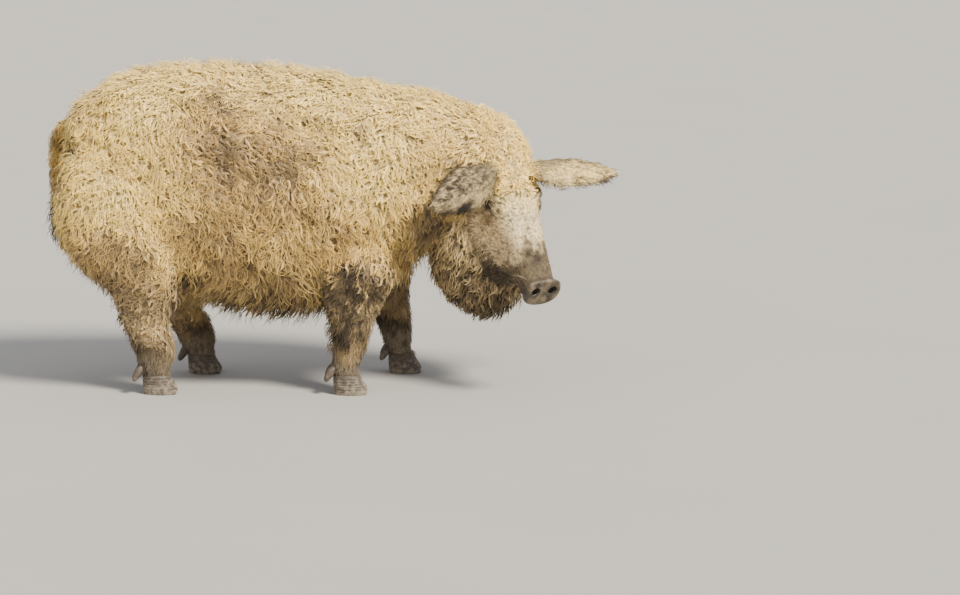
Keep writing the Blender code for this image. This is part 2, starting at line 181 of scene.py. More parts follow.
# ---- trunk and neck -------------------------------------------------------------------------
# The barrel of the body and the short thick neck are one form of flesh, widest at the belly and
# turned at its front end to the pig's right.  Rings of superellipses are carried along it.
BODY = np.array([   # x, y, z, half width, height above and below, turn down and right (degrees)
    (-0.500, 0.000, 0.490, 0.184, 0.238, 0.215, 0, 0),
    (-0.390, 0.000, 0.500, 0.216, 0.284, 0.265, 0, 0),
    (-0.220, 0.000, 0.490, 0.238, 0.309, 0.298, 0, 0),
    (-0.040, 0.000, 0.475, 0.246, 0.318, 0.316, 0, 0),
    (0.100, 0.000, 0.480, 0.238, 0.287, 0.297, 0, 0),
    (0.210, 0.000, 0.495, 0.222, 0.252, 0.245, 0, 0),
    (0.300, 0.000, 0.505, 0.200, 0.229, 0.212, 6, 4),
    (0.370, -0.012, 0.500, 0.180, 0.208, 0.195, 16, 14),
    (0.430, -0.035, 0.490, 0.155, 0.180, 0.170, 26, 26),
    (0.475, -0.062, 0.475, 0.110, 0.125, 0.120, 36, 36)])
BODY_ROUND = 2.25
RUMP_X = -0.592
BODY_COAT = 0.031                   # depth of the wool on trunk and neck

SNOUT = np.array((0.583, -0.240, 0.263))
HEAD_YAW = radians(57)
HEAD_PITCH = radians(50)
FORWARD = np.array((cos(HEAD_PITCH) * cos(HEAD_YAW), -cos(HEAD_PITCH) * sin(HEAD_YAW), -sin(HEAD_PITCH)))
LEFT = np.array((sin(HEAD_YAW), cos(HEAD_YAW), 0.0))
DORSAL = np.cross(FORWARD, LEFT)
EYE = (0.219, 0.030, 0.0605)        # behind the snout, dorsal, to the side
SIDES = {"left": 1.0, "right": -1.0}


def in_head(back, dorsal, left):
    """Points from the head's own axes: metres behind the snout, dorsal and to the left."""
    back, dorsal, left = (np.asarray(part, float)[..., None] for part in (back, dorsal, left))
    return SNOUT - FORWARD * back + DORSAL * dorsal + LEFT * left


# the frame centres the pig on its outline, so the drawing's origin is found from an eye
eye_box = np.array([list(corner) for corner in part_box("eye_right")])
SHIFT = eye_box.mean(axis=0) - in_head(EYE[0], EYE[1], -EYE[2])
SNOUT = SNOUT + SHIFT
BODY[:, :3] += SHIFT
RUMP_X += SHIFT[0]


def unit(vectors):
    """Vectors at length 1, along the last axis."""
    vectors = np.asarray(vectors, float)
    return vectors / np.maximum(np.linalg.norm(vectors, axis=-1, keepdims=True), 1e-12)


def smooth_step(value, low, high):
    """0 below low, 1 above high, an S-curve between."""
    t = np.clip((value - low) / (high - low), 0.0, 1.0)
    return t * t * (3.0 - 2.0 * t)


def smooth_through(knots, table, at):
    """Curve through table's rows: a cubic between neighbours whose slopes never overshoot."""
    knots = np.asarray(knots, float)
    step = np.diff(knots)[:, None]
    rise = np.diff(table, axis=0) / step
    together = rise[:-1] * rise[1:] > 0
    share = np.where(together, rise[:-1] * rise[1:], 0.0)
    total = np.where(together, rise[:-1] + rise[1:], 1.0)
    slope = np.vstack([rise[:1], 2.0 * share / total, rise[-1:]])
    row = np.clip(np.searchsorted(knots, at) - 1, 0, len(knots) - 2)
    span = step[row]
    t = (at - knots[row])[..., None] / span
    return ((2 * t**3 - 3 * t**2 + 1) * table[row] + (t**3 - 2 * t**2 + t) * span * slope[row]
            + (3 * t**2 - 2 * t**3) * table[row + 1] + (t**3 - t**2) * span * slope[row + 1])


def oval(turn, roundness):
    """Unit superellipse at these turns: signed powers of cosine and sine."""
    power = 2.0 / roundness
    across = np.sign(np.cos(turn)) * np.abs(np.cos(turn)) ** power
    upward = np.sign(np.sin(turn)) * np.abs(np.sin(turn)) ** power
    return across, upward


def lattice_noise(points, scale, seed=0):
    """Smooth noise from -1 to 1: a hashed number at each whole lattice point, eased between them."""
    spot = points * scale + 37.7
    cell = np.floor(spot).astype(np.int64)
    part = spot - cell
    part = part * part * (3.0 - 2.0 * part)
    total = np.zeros(points.shape[:-1])
    for corner in np.ndindex(2, 2, 2):
        x, y, z = np.moveaxis(cell + corner, -1, 0)
        mixed = (x * 73856093) ^ (y * 19349663) ^ (z * 83492791) ^ (seed * 2654435761)
        mixed = ((mixed ^ (mixed >> 13)) * 1274126177) & 0x7FFFFFFF
        value = ((mixed >> 7) & 0xFFFF) / 32767.5 - 1.0
        weight = np.prod(np.where(corner, part, 1.0 - part), axis=-1)
        total += value * weight
    return total


def turns(count):
    """Even turns round a ring, in radians."""
    return np.arange(count) * 2.0 * pi / count


def body_surface(station, turn, inset):
    """Superellipse rings on the stations' row; from station 0 back to -1 the rump closes as a
    quarter of an ellipse, and inset draws the surface in from the tips of the wool."""
    row = smooth_through(np.arange(len(BODY)), BODY, np.clip(station, 0, len(BODY) - 1))
    across, upward = oval(turn, BODY_ROUND)
    pitch, yaw = np.radians(row[..., 6]), np.radians(row[..., 7])
    level = np.zeros_like(yaw)
    left = np.stack([np.sin(yaw), np.cos(yaw), level], -1)
    up = np.stack([np.sin(pitch) * np.cos(yaw), -np.sin(pitch) * np.sin(yaw), np.cos(pitch)], -1)
    wide = across * (row[..., 3] - inset)
    high = upward * (np.where(upward > 0, row[..., 4], row[..., 5]) - inset)
    close = (1.0 + np.clip(station, -1.0, 0.0)) * pi / 2
    point = row[..., :3] + (wide[..., None] * left + high[..., None] * up) * np.sin(close)[..., None]
    point[..., 0] -= (row[..., 0] - RUMP_X - inset) * np.cos(close)
    return point


def tube_quads(rows, around):
    """Quads between the rings of a tube: each corner, the next on its ring, and the two above."""
    first = np.arange(rows - 1)[:, None] * around
    low = (first + np.arange(around)).ravel()
    after = (first + np.roll(np.arange(around), -1)).ravel()
    return np.stack([low, after, after + around, low + around], -1)


def grid_mesh(name, grid):
    """Closed tube of quads through a grid of points (rows by turns); a fan closes each end."""
    rows, around = grid.shape[:2]
    points = np.vstack([grid.reshape(-1, 3), grid[0].mean(0), grid[-1].mean(0)])
    quads = tube_quads(rows, around)
    ring = np.arange(around)
    following = np.roll(ring, -1)
    last = (rows - 1) * around
    first_fan = np.stack([following, ring, np.full(around, rows * around)], -1)
    last_fan = np.stack([last + ring, last + following, np.full(around, rows * around + 1)], -1)
    corners = points[quads]
    volume = np.einsum("ij,ij->i", corners[:, 0], np.cross(corners[:, 1], corners[:, 2])).sum()
    faces = [quads, first_fan, last_fan]
    if volume < 0.0:
        faces = [part[:, ::-1] for part in faces]
    mesh = bpy.data.meshes.new(name)
    mesh.from_pydata(points.tolist(), [], [face for part in faces for face in part.tolist()])
    return placed(name, mesh)


BODY_STATIONS = np.concatenate([np.linspace(-0.97, -0.03, 16), np.linspace(0.0, 9.0, 74)])
body_grid = body_surface(BODY_STATIONS[:, None], turns(140)[None, :], BODY_COAT)
flesh = [grid_mesh("flesh_body", body_grid)]


# ---- head -----------------------------------------------------------------------------------
# A long wedge of bone and muscle that ends in a round plate of gristle with the two nostrils.
# Short hair covers its face; wool covers the crown, cheeks and jowls, where the flesh lies deeper.
HEAD = np.array([   # behind the snout, half width, height above and below, jowl swelling
    (.006, .047, .036, .037, 0.00), (.022, .044, .037, .042, 0.00), (.055, .049, .042, .056, 0.00),
    (.085, .053, .048, .072, 0.05), (.115, .057, .053, .140, 0.30), (.160, .063, .061, .235, 0.85),
    (.215, .074, .074, .275, 1.30), (.240, .088, .100, .285, 1.25), (.300, .104, .122, .295, 1.00),
    (.370, .118, .127, .235, 0.50), (.440, .110, .106, .150, 0.15), (.475, .085, .078, .090, 0.00)])
HEAD_ROUND = 2.2
POLL_ROUNDING = 0.030
JOWL_HANG = 0.36                    # forward swing of the jowls, which hang straight down
JOWL_FROM = (0.085, 0.160)
SNOUT_LIFT = radians(16)            # the plate faces this much higher than the head's axis
SNOUT_LIFT_REACH = 0.11
DISC = (0.050, 0.037, 0.012)        # snout plate: half width, half height, thickness
FACE_COAT = 0.003                   # depth of the face's short hair
CHEEK_COAT = 0.025                  # further depth of the wool on crown, cheeks and jowls
CROWN_LINE = (0.222, 0.240)         # the wool of the crown begins here, behind the snout
CHEEK_LINE = (0.252, 0.268)         # the same at the side of the head, behind the eye
JAW_SLOPE = 0.5                     # the wool's edge runs from behind the eye down to the chin
JAW_LINE = (0.250, -0.030)          # its start: behind the snout, dorsal


def head_parts(points):
    """A point's place in the head's axes: behind the snout, dorsal and to the left."""
    away = points - SNOUT
    return -(away @ FORWARD), away @ DORSAL, away @ LEFT


def woolly(back, dorsal):
    """Share of wool on the head: 1 on crown, cheek and jowl, 0 on the short-haired face."""
    high = smooth_step(dorsal, 0.045, 0.072)
    edge = CHEEK_LINE[0] + (CROWN_LINE[0] - CHEEK_LINE[0]) * high
    behind = smooth_step(back, edge, edge + 0.030)
    jaw = JAW_LINE[1] + JAW_SLOPE * (back - JAW_LINE[0])
    below = smooth_step(jaw - dorsal, -0.006, 0.012)
    return np.maximum(behind, below)


def head_surface(back, turn, bare=True):
    """Superellipse rings along the head whose lower half swells and swings into the jowls; when
    bare, the surface is drawn in by the coat's depth at each place."""
    row = smooth_through(HEAD[:, 0], HEAD[:, 1:], back)
    half_width, above, below, jowl = np.moveaxis(row, -1, 0)
    across, upward = oval(turn, HEAD_ROUND)
    height = np.where(upward > 0, above, below) * upward
    inset = FACE_COAT + CHEEK_COAT * woolly(back, height) if bare else 0.0
    fade = np.clip(1.0 - back / SNOUT_LIFT_REACH, 0.0, 1.0)
    lean = (SNOUT_LIFT * fade * fade * (3.0 - 2.0 * fade))[..., None]
    dorsal = DORSAL * np.cos(lean) - FORWARD * np.sin(lean)
    swell = 1.0 + jowl * np.clip(-upward, 0.0, 1.0)
    share = np.clip((back - JOWL_FROM[0]) / (JOWL_FROM[1] - JOWL_FROM[0]), 0.0, 1.0)
    swing = np.clip(-height, 0.0, None) * JOWL_HANG * share
    wide = across * (swell * half_width - inset)
    height = height - inset * upward
    return (SNOUT - FORWARD * back[..., None] + LEFT * wide[..., None]
            + dorsal * height[..., None] + FORWARD * swing[..., None])


def spread(knots, spacing, scale=1.0):
    """Places from the first knot to the last whose spacing follows the given one at the knots."""
    fine = np.linspace(knots[0], knots[-1], 2000)
    each = 1.0 / (np.interp(fine, knots, spacing) * scale)
    count = np.concatenate([[0.0], np.cumsum((each[1:] + each[:-1]) / 2 * np.diff(fine))])
    return np.interp(np.linspace(0.0, count[-1], int(round(count[-1])) + 1), count, fine)


def bell(value, middle, reach):
    """Bell curve: exp(-((value - middle) / reach)^2)."""
    return np.exp(-((value - middle) / reach) ** 2)


EYE_TURN = radians(21)              # where the eye lies round the head's ring
HEAD_TURNS_COUNT = 236
turn_knots = np.linspace(0.0, 2.0 * pi, 721)
finer = sum(bell(turn_knots, middle, 0.27) for middle in (EYE_TURN, pi - EYE_TURN))
turn_spacing = 1.0 / (1.0 + 1.7 * finer)
turn_spacing *= (np.diff(turn_knots) / turn_spacing[1:]).sum() / HEAD_TURNS_COUNT
HEAD_TURNS = spread(turn_knots, turn_spacing)[:-1]
HEAD_BACKS = spread((.006, .030, .060, .180, .200, .238, .255, .300, .475),
                    (.0014, .0020, .0025, .0025, .0012, .0012, .0030, .0050, .0070))

disc_dorsal = DORSAL * cos(SNOUT_LIFT) - FORWARD * sin(SNOUT_LIFT)
disc_ahead = FORWARD * cos(SNOUT_LIFT) + DORSAL * sin(SNOUT_LIFT)
disc_start = SNOUT - FORWARD * HEAD[0, 0]
disc_middle = disc_start + disc_ahead * DISC[2]


def disc_rows(turns):
    """Rings of the snout plate from its middle out over the rolled rim to the muzzle: a faint
    dish on its face, a round edge, and a narrow neck behind it."""
    size = np.concatenate([np.linspace(0.02, 0.90, 40), [0.955, 0.985, 1.0, 0.998, 0.985, 0.965]])
    dish = 0.95 + 0.10 * np.linspace(0.0, 1.0, 40) ** 2
    ahead = np.concatenate([dish, [0.93, 0.80, 0.58, 0.34, 0.12, -0.04]])
    across, upward = oval(turns, 2.3)
    flat = across[:, None] * LEFT * DISC[0] + upward[:, None] * disc_dorsal * DISC[1]
    return disc_start + flat[None] * size[:, None, None] + disc_ahead * (DISC[2] * ahead)[:, None, None]


def poll_rows(last):
    """The head's back end, rounded off as a quarter of an ellipse."""
    turn = np.radians((18, 36, 54, 72))[:, None, None]
    middle = last.mean(0)
    return middle + (last - middle) * np.cos(turn) - FORWARD * POLL_ROUNDING * np.sin(turn)


def grid_normals(grid):
    """Outward unit normals of a closed tube's grid, from the differences of its neighbours."""
    along = np.gradient(grid, axis=0)
    round_ = np.roll(grid, -1, axis=1) - np.roll(grid, 1, axis=1)
    normal = unit(np.cross(round_, along))
    outward = grid - grid.mean(axis=1, keepdims=True)
    return normal * np.sign((normal * outward).sum(-1).mean())


disc = disc_rows(HEAD_TURNS)
muzzle = head_surface(HEAD_BACKS[:, None], HEAD_TURNS[None, :])
head_grid = np.concatenate([disc, muzzle, poll_rows(muzzle[-1])])
head_normals = grid_normals(head_grid)

# nostrils: two oval pits in the plate's face, a soft rim round each
NOSTRIL = (0.0232, 0.0085)          # to the side and above the plate's middle
NOSTRIL_SIZE = (0.0104, 0.0108)
NOSTRIL_DEPTH = 0.015
away = head_grid - disc_middle
on_face = (np.arange(len(head_grid)) < 41)[:, None]
for sign in SIDES.values():
    aside = away @ LEFT - sign * NOSTRIL[0]
    above = away @ disc_dorsal - NOSTRIL[1] - 0.10 * sign * aside
    reach = np.hypot(aside / NOSTRIL_SIZE[0], above / NOSTRIL_SIZE[1])
    pit = NOSTRIL_DEPTH * (1.0 - smooth_step(reach, 0.55, 1.12)) - 0.0012 * bell(reach, 1.35, 0.22)
    head_grid = head_grid - disc_ahead * (pit * on_face)[..., None]

# mouth: a groove along each side of the muzzle, the lower lip a little behind the upper one
MOUTH_DORSAL = -0.027
MOUTH_BACK = (0.014, 0.150)
back, dorsal, aside = head_parts(head_grid)
in_mouth = smooth_step(back, MOUTH_BACK[0], 0.026) * (1.0 - smooth_step(back, 0.130, MOUTH_BACK[1]))
lip = MOUTH_DORSAL - 0.05 * (back - 0.03) + 0.004 * np.sin(back * 60.0)
chin = smooth_step(lip - dorsal, 0.001, 0.008) * (1.0 - smooth_step(back, 0.045, 0.08))
groove = 0.0014 * bell(dorsal - lip, -0.006, 0.0035) - 0.0042 * bell(dorsal, lip, 0.0022) - 0.0030 * chin
groove = groove * in_mouth

# folds: across the muzzle behind the plate, one deep crease over its bridge, and on the brow
wander = lattice_noise(head_grid, 45.0, 3)
top = smooth_step(dorsal, 0.0, 0.03)
ripple = (1.0 - np.abs(np.sin((back + 0.0025 * wander) * pi / 0.0105))) ** 2
groove -= 0.0011 * ripple * top * smooth_step(back, 0.012, 0.03) * (1.0 - smooth_step(back, 0.07, 0.11))
groove -= 0.0024 * bell(back - 0.12 * aside + 0.002 * wander, 0.086, 0.0022) * top
grain = lattice_noise(head_grid, 120.0, 4) * (1.0 - woolly(back, dorsal))
groove += 0.0006 * grain * smooth_step(back, 0.0, 0.02)

# the muzzle widens into the plate's rim
groove += 0.0034 * bell(back, 0.006, 0.010) * smooth_step(back, 0.004, 0.007)

# cheekbone below and ahead of the eye, the hollow above the mouth, and the bridge's flat top
groove += 0.0035 * bell(back, 0.185, 0.045) * bell(dorsal, -0.004, 0.022)
groove -= 0.0040 * bell(back, 0.120, 0.040) * bell(dorsal, 0.010, 0.018)
head_grid = head_grid + head_normals * groove[..., None]

# lids: the skin follows a ball a little larger than the eye and opens along a narrow slit
EYE_RADIUS = 0.0125
LID_RADIUS = 0.0137
SLIT = (0.0108, 0.0036)             # half length along the head, half opening
BROW = 0.0026


def eye_axes(sign):
    """Middle of the eye, the way it looks, the slit's direction, and the way across the slit."""
    middle = in_head(EYE[0], EYE[1], sign * EYE[2])
    look = unit(LEFT * sign * 0.92 + DORSAL * 0.32 + FORWARD * 0.22)
    slit = unit(FORWARD - look * (FORWARD @ look))
    return middle, look, slit, np.cross(look, slit) * sign


for sign in SIDES.values():
    middle, look, slit, over = eye_axes(sign)
    away = head_grid - middle
    ahead, outward, across = away @ slit, away @ look, away @ over
    across = across * np.sign(over @ DORSAL)
    reach = np.hypot(ahead, across)
    near = (outward > -0.004) & (reach < 0.045)
    ball = np.sqrt(np.clip(LID_RADIUS**2 - reach**2, 0.0, None))
    ball = ball - 0.9 * np.clip(reach - LID_RADIUS, 0.0, None)
    raised = np.maximum(outward, ball) + 0.0028 * bell(outward, ball, 0.006) * (reach < 0.03)
    raised += BROW * bell(across, 0.0145, 0.005) * bell(ahead, -0.002, 0.014)
    raised += 0.0012 * bell(across, -0.0125, 0.004) * bell(ahead, 0.0, 0.012)
    crease = bell(reach - 0.0015 * wander, 0.0185, 0.0013) * (across > -0.004)
    crease += 0.7 * bell(reach - 0.002 * wander, 0.0235, 0.0014) * (across > 0.0)
    crease += 0.6 * bell(reach, 0.0190, 0.0013) * (across < -0.006)
    raised -= 0.0011 * crease
    opening = SLIT[1] * np.clip(1.0 - (ahead / SLIT[0]) ** 2, 0.0, None) ** 0.8
    shut = smooth_step(np.abs(across - 0.0008) - opening, -0.0008, 0.0010)
    shut = np.maximum(shut, smooth_step(np.abs(ahead), SLIT[0] - 0.0010, SLIT[0] + 0.0006))
    sunk = np.sqrt(np.clip((EYE_RADIUS - 0.0022) ** 2 - reach**2, 0.0, None))
    raised = sunk + (raised - sunk) * np.where(reach < LID_RADIUS, shut, 1.0)
    share = 1.0 - smooth_step(reach, 0.026, 0.042)
    head_grid = head_grid + look * ((raised - outward) * share * near)[..., None]

flesh.append(grid_mesh("flesh_head", head_grid))


# ---- ears -----------------------------------------------------------------------------------
# Broad soft leaves of gristle and thin skin that stand out sideways and droop at the tip; their
# rims curl under, and the hollow side faces down and forward.
EAR_ROOT = (0.290, 0.082, 0.054)
EAR_REACH = {"right": (0.064, -0.023, 0.183), "left": (0.068, 0.069, 0.177)}
EAR_LEAF = np.array([               # share of length, half width, half thickness
    (0.00, 0.026, 0.018), (0.20, 0.043, 0.013), (0.42, 0.052, 0.0085),
    (0.66, 0.046, 0.0070), (0.87, 0.029, 0.0060), (1.00, 0.012, 0.0045)])
EAR_CUP = 0.020
EAR_ARCH = 0.014
EAR_BACK = (-0.838, 0.348, 0.420)
EAR_ROLL = {"right": 0.0, "left": radians(33)}
EAR_COAT = 0.0028                   # depth of the ear's hair
EAR_SUNK = -0.22                    # the stem starts inside the head, at this share of its length


def ear_axes(side):
    """Root of the ear, the way to its tip, the way across the leaf and the way its face looks."""
    sign = SIDES[side]
    fore, dorsal, out = EAR_REACH[side]
    along = FORWARD * fore + DORSAL * dorsal + LEFT * sign * out
    wide = FORWARD * EAR_BACK[0] + DORSAL * EAR_BACK[1] + LEFT * sign * EAR_BACK[2]
    wide = unit(wide - along * wide.dot(along) / along.dot(along))
    face = unit(np.cross(wide, along))
    face *= np.sign(face.dot(DORSAL))
    roll = EAR_ROLL[side]
    wide, face = wide * cos(roll) - face * sin(roll), face * cos(roll) + wide * sin(roll)
    return in_head(EAR_ROOT[0], EAR_ROOT[1], sign * EAR_ROOT[2]), along, wide, face


def ear_surface(side, share, turn):
    """Ovals along the ear's bowed middle, bent down at both rims; the hollow side is thinner in
    the middle, and the rims wave a little."""
    root, along, wide, face = ear_axes(side)
    leaf = smooth_through(EAR_LEAF[:, 0], EAR_LEAF[:, 1:], np.clip(share, 0.0, 1.0))
    half_width, half_thick = np.moveaxis(leaf, -1, 0)
    across, upward = oval(turn, 2.0)
    middle = root + along * share[..., None] + face * (EAR_ARCH * np.sin(pi * share))[..., None]
    cup = EAR_CUP * half_width / EAR_LEAF[:, 1].max()
    hollow = 1.0 - 0.75 * smooth_step(share, 0.1, 0.3) * (1.0 - across**2)
    thick = (half_thick - EAR_COAT) * np.where(upward < 0, hollow, 1.0)
    wave = 0.0022 * np.sin(share * 23.0 + 2.0 * np.sign(across)) * across**4 * smooth_step(share, 0.1, 0.3)
    return (middle + wide * (across * (half_width - EAR_COAT))[..., None]
            + face * (upward * thick - cup * across**2 + wave)[..., None])


EAR_SHARES = np.concatenate([np.linspace(EAR_SUNK, 0.97, 60), [0.985, 0.995]])
ear_grids = {}
for side in SIDES:
    ear_grids[side] = ear_surface(side, EAR_SHARES[:, None], turns(64)[None, :])
    flesh.append(grid_mesh("flesh_ear_" + side, ear_grids[side]))


# ---- legs -----------------------------------------------------------------------------------
# Short strong legs: heavy upper legs in wool, then bone and sinew under short hair down to two
# main toes.  The left feet stand a step ahead of the right ones.
FORE = np.array([   # x, y of a right leg, z, half length, half width
    (0.135, -0.105, 0.420, 0.085, 0.070), (0.140, -0.128, 0.360, 0.115, 0.088),
    (0.141, -0.140, 0.290, 0.115, 0.088), (0.136, -0.141, 0.235, 0.095, 0.072),
    (0.131, -0.139, 0.185, 0.071, 0.056), (0.128, -0.137, 0.130, 0.049, 0.046),
    (0.121, -0.136, 0.088, 0.041, 0.040), (0.114, -0.136, 0.060, 0.039, 0.039),
    (0.117, -0.136, 0.048, 0.040, 0.038)])
HIND = np.array([
    (-0.415, -0.085, 0.620, 0.080, 0.060), (-0.430, -0.118, 0.550, 0.138, 0.096),
    (-0.430, -0.134, 0.465, 0.160, 0.104), (-0.416, -0.138, 0.380, 0.164, 0.104),
    (-0.388, -0.138, 0.310, 0.141, 0.094), (-0.364, -0.135, 0.240, 0.096, 0.074),
    (-0.365, -0.132, 0.178, 0.067, 0.053), (-0.349, -0.131, 0.130, 0.056, 0.047),
    (-0.341, -0.130, 0.090, 0.051, 0.043), (-0.342, -0.130, 0.062, 0.045, 0.042),
    (-0.340, -0.130, 0.048, 0.043, 0.039)])
LEG_TABLES = {"fore": FORE, "hind": HIND}
LEG_ROUND = 2.15
LEFT_STEP = {"fore": 0.142, "hind": 0.100}
STEP_TOP = 0.34
LEG_COAT = (0.0065, 0.026)          # depth of the hair at the foot and of the wool on the thigh
LEG_COAT_FROM = (0.100, 0.250)
CLEFT_TOP = 0.085                   # the split between the toes starts at this height


def leg_table(which, side):
    """Rings of one leg; a left leg is mirrored and steps further forward towards its foot."""
    table = LEG_TABLES[which].copy()
    if side == "left":
        table[:, 1] *= -1.0
        down = np.clip((STEP_TOP - table[:, 2]) / STEP_TOP, 0.0, 1.0)
        table[:, 0] += LEFT_STEP[which] * down ** 0.8
    return table + np.array((SHIFT[0], SHIFT[1], 0.0, 0.0, 0.0))


def leg_surface(table, height, turn):
    """Horizontal ovals of the leg at these heights, drawn in by the coat and nicked in front and
    behind where the two toes part."""
    row = smooth_through(-table[:, 2], table, -height)
    across, upward = oval(turn, LEG_ROUND)
    inset = LEG_COAT[0] + (LEG_COAT[1] - LEG_COAT[0]) * smooth_step(height, *LEG_COAT_FROM)
    nick = 0.16 * (1.0 - smooth_step(height, 0.048, CLEFT_TOP)) * np.abs(np.cos(turn)) ** 14
    return np.stack([row[..., 0] + across * (row[..., 3] - inset) * (1.0 - nick),
                     row[..., 1] + upward * (row[..., 4] - inset),
                     height + 0.0 * turn], -1)


leg_grids = {}
for which in LEG_TABLES:
    for side in SIDES:
        table = leg_table(which, side)
        heights = np.concatenate([np.linspace(table[0, 2], 0.20, 30), np.linspace(0.196, 0.0465, 44)])
        leg_grids[which, side] = leg_surface(table, heights[:, None], turns(56)[None, :])
        flesh.append(grid_mesh("flesh_" + which + "leg_" + side, leg_grids[which, side]))


# ---- tail -----------------------------------------------------------------------------------
# A thin tail that hangs between the hams, with a tuft at its end.
TAIL = np.array([   # x, y, z and radius down its length, wool included
    (-0.535, 0.000, 0.640, 0.020), (-0.572, 0.004, 0.622, 0.022),
    (-0.586, 0.012, 0.570, 0.020), (-0.588, 0.020, 0.500, 0.018),
    (-0.586, 0.022, 0.430, 0.022), (-0.576, 0.016, 0.370, 0.026), (-0.572, 0.010, 0.330, 0.010)])
TAIL[:, :3] += SHIFT
TAIL_ROOT, TAIL_TIP = 0.012, 0.005  # radius of the flesh
TAIL_FLESH_END = 5.2                # station where the flesh ends inside the tuft
tail_at = np.linspace(0.0, TAIL_FLESH_END, 60)
tail_line = smooth_through(np.arange(len(TAIL)), TAIL, tail_at)[:, :3]
tail_way = unit(np.gradient(tail_line, axis=0))
tail_side = unit(np.cross(tail_way, (1.0, 0.3, 0.0)))
tail_turns = turns(16)[None, :, None]
tail_radius = np.linspace(TAIL_ROOT, TAIL_TIP, len(tail_at))[:, None, None]
tail_grid = tail_line[:, None] + tail_radius * (
    np.cos(tail_turns) * tail_side[:, None] + np.sin(tail_turns) * np.cross(tail_way, tail_side)[:, None])
flesh.append(grid_mesh("flesh_tail", tail_grid))


# ---- skin -----------------------------------------------------------------------------------
# All the flesh is one skin with no seam: the forms above are united and their joins eased.  Under
# the coat it is painted a dull grey-tan as shade deep in the wool; it is drier and folded on the
# face, and moist on the snout's plate.
for number, thing in enumerate(flesh):
    for step in range(len(flesh)):
        thing.data.materials.append(None)
    thing.data.polygons.foreach_set("material_index", np.full(len(thing.data.polygons), number, np.int32))
skin = flesh[0]
for other in flesh[1:]:
    union = skin.modifiers.new(other.name, "BOOLEAN")
    union.operation = "UNION"
    union.solver = "EXACT"
    union.object = other
graph = bpy.context.evaluated_depsgraph_get()
united = bpy.data.meshes.new_from_object(skin.evaluated_get(graph))
skin.modifiers.clear()
skin.data = united
skin.name = "skin"
united.name = "skin"
for other in flesh[1:]:
    bpy.data.objects.remove(other, do_unlink=True)


def field_of(items, field, width=1, kind=np.int32):
    """One field of all the points, edges, corners or faces of a mesh as one array."""
    flat = np.empty(len(items) * width, kind)
    items.foreach_get(field, flat)
    return flat.reshape(-1, width) if width > 1 else flat


def neighbour_mean(values, edges, count):
    """Mean of each point's neighbours along the edges."""
    total = np.zeros_like(values)
    np.add.at(total, edges[:, 0], values[edges[:, 1]])
    np.add.at(total, edges[:, 1], values[edges[:, 0]])
    return total / count.reshape((-1,) + (1,) * (values.ndim - 1))


# a point where faces of two forms meet lies on a join
PARTS = np.array(["body", "head", "ear_left", "ear_right", "fore", "fore", "hind", "hind", "tail"])
skin_points = field_of(united.vertices, "co", 3, np.float32).astype(float)
skin_edges = field_of(united.edges, "vertices", 2)
edge_count = np.maximum(np.bincount(skin_edges.ravel(), minlength=len(skin_points)), 1)
corner_point = field_of(united.loops, "vertex_index")
corner_part = np.repeat(field_of(united.polygons, "material_index"), field_of(united.polygons, "loop_total"))
lowest = np.full(len(skin_points), len(PARTS))
highest = np.full(len(skin_points), -1)
np.minimum.at(lowest, corner_point, corner_part)
np.maximum.at(highest, corner_point, corner_part)
part_of = PARTS[lowest]
on_leg = (part_of == "fore") | (part_of == "hind")

JOIN_REACH = 5                      # steps along the mesh that a join is eased over
ease = (lowest < highest).astype(float)
for step in range(JOIN_REACH):
    ease = np.maximum(ease, neighbour_mean(ease, skin_edges, edge_count) * 1.7)
ease = np.clip(ease, 0.0, 1.0) * (ease > 0.02)
for step in range(14):
    moved = neighbour_mean(skin_points, skin_edges, edge_count)
    skin_points += (moved - skin_points) * (0.6 * ease)[:, None]

# the fleece lies in soft lumps, which the skin of the trunk and thighs follows
LUMP = 0.0060
LUMPS_ABOVE = 0.26                  # height on the legs
united.vertices.foreach_set("co", skin_points.astype(np.float32).ravel())
united.update()
lumpy = (part_of == "body") | (on_leg & (skin_points[:, 2] > LUMPS_ABOVE))
lump = LUMP * (0.75 * lattice_noise(skin_points, 13.0, 6) + 0.4 * lattice_noise(skin_points, 27.0, 7))
skin_points += field_of(united.vertices, "normal", 3, np.float32) * (lump * lumpy)[:, None]

united.vertices.foreach_set("co", skin_points.astype(np.float32).ravel())
united.materials.clear()
united.polygons.foreach_set("material_index", np.zeros(len(united.polygons), np.int32))
united.shade_smooth()
united.update()


# Markings, the same for skin and coat: each function gives linear colours for points.
CREAM, STRAW, TAN = linear(255, 213, 94), linear(230, 182, 82), linear(168, 134, 72)
PALE, BROWN = linear(255, 217, 108), linear(118, 94, 60)
# mud colours, also used as painted shade under the chin and the jowls
MUD_AND_SHADE, DARK_MUD_AND_SHADE = linear(106, 88, 60), linear(46, 38, 28)
DUSK = (-0.15, 0.57, 0.20)          # browner wool on mid flank: x, z and reach
# paler patches of wool on rump, shoulder and back: x, z and reach of each
PALE_PATCHES = ((-0.44, 0.67, 0.07), (-0.50, 0.48, 0.05), (0.10, 0.56, 0.11), (0.02, 0.72, 0.08))


def painted(colour, *layers):
    """The colour under layers laid over it in turn; a layer is a colour and its share, which is
    held between 0 and 1."""
    for over, share in layers:
        colour = colour + (over - colour) * np.clip(np.asarray(share, float), 0.0, 1.0)[..., None]
    return colour


def noises(points, seed, *scales):
    """Lattice noise at each of these scales, with seeds that count up from the first."""
    return [lattice_noise(points, scale, seed + number) for number, scale in enumerate(scales)]


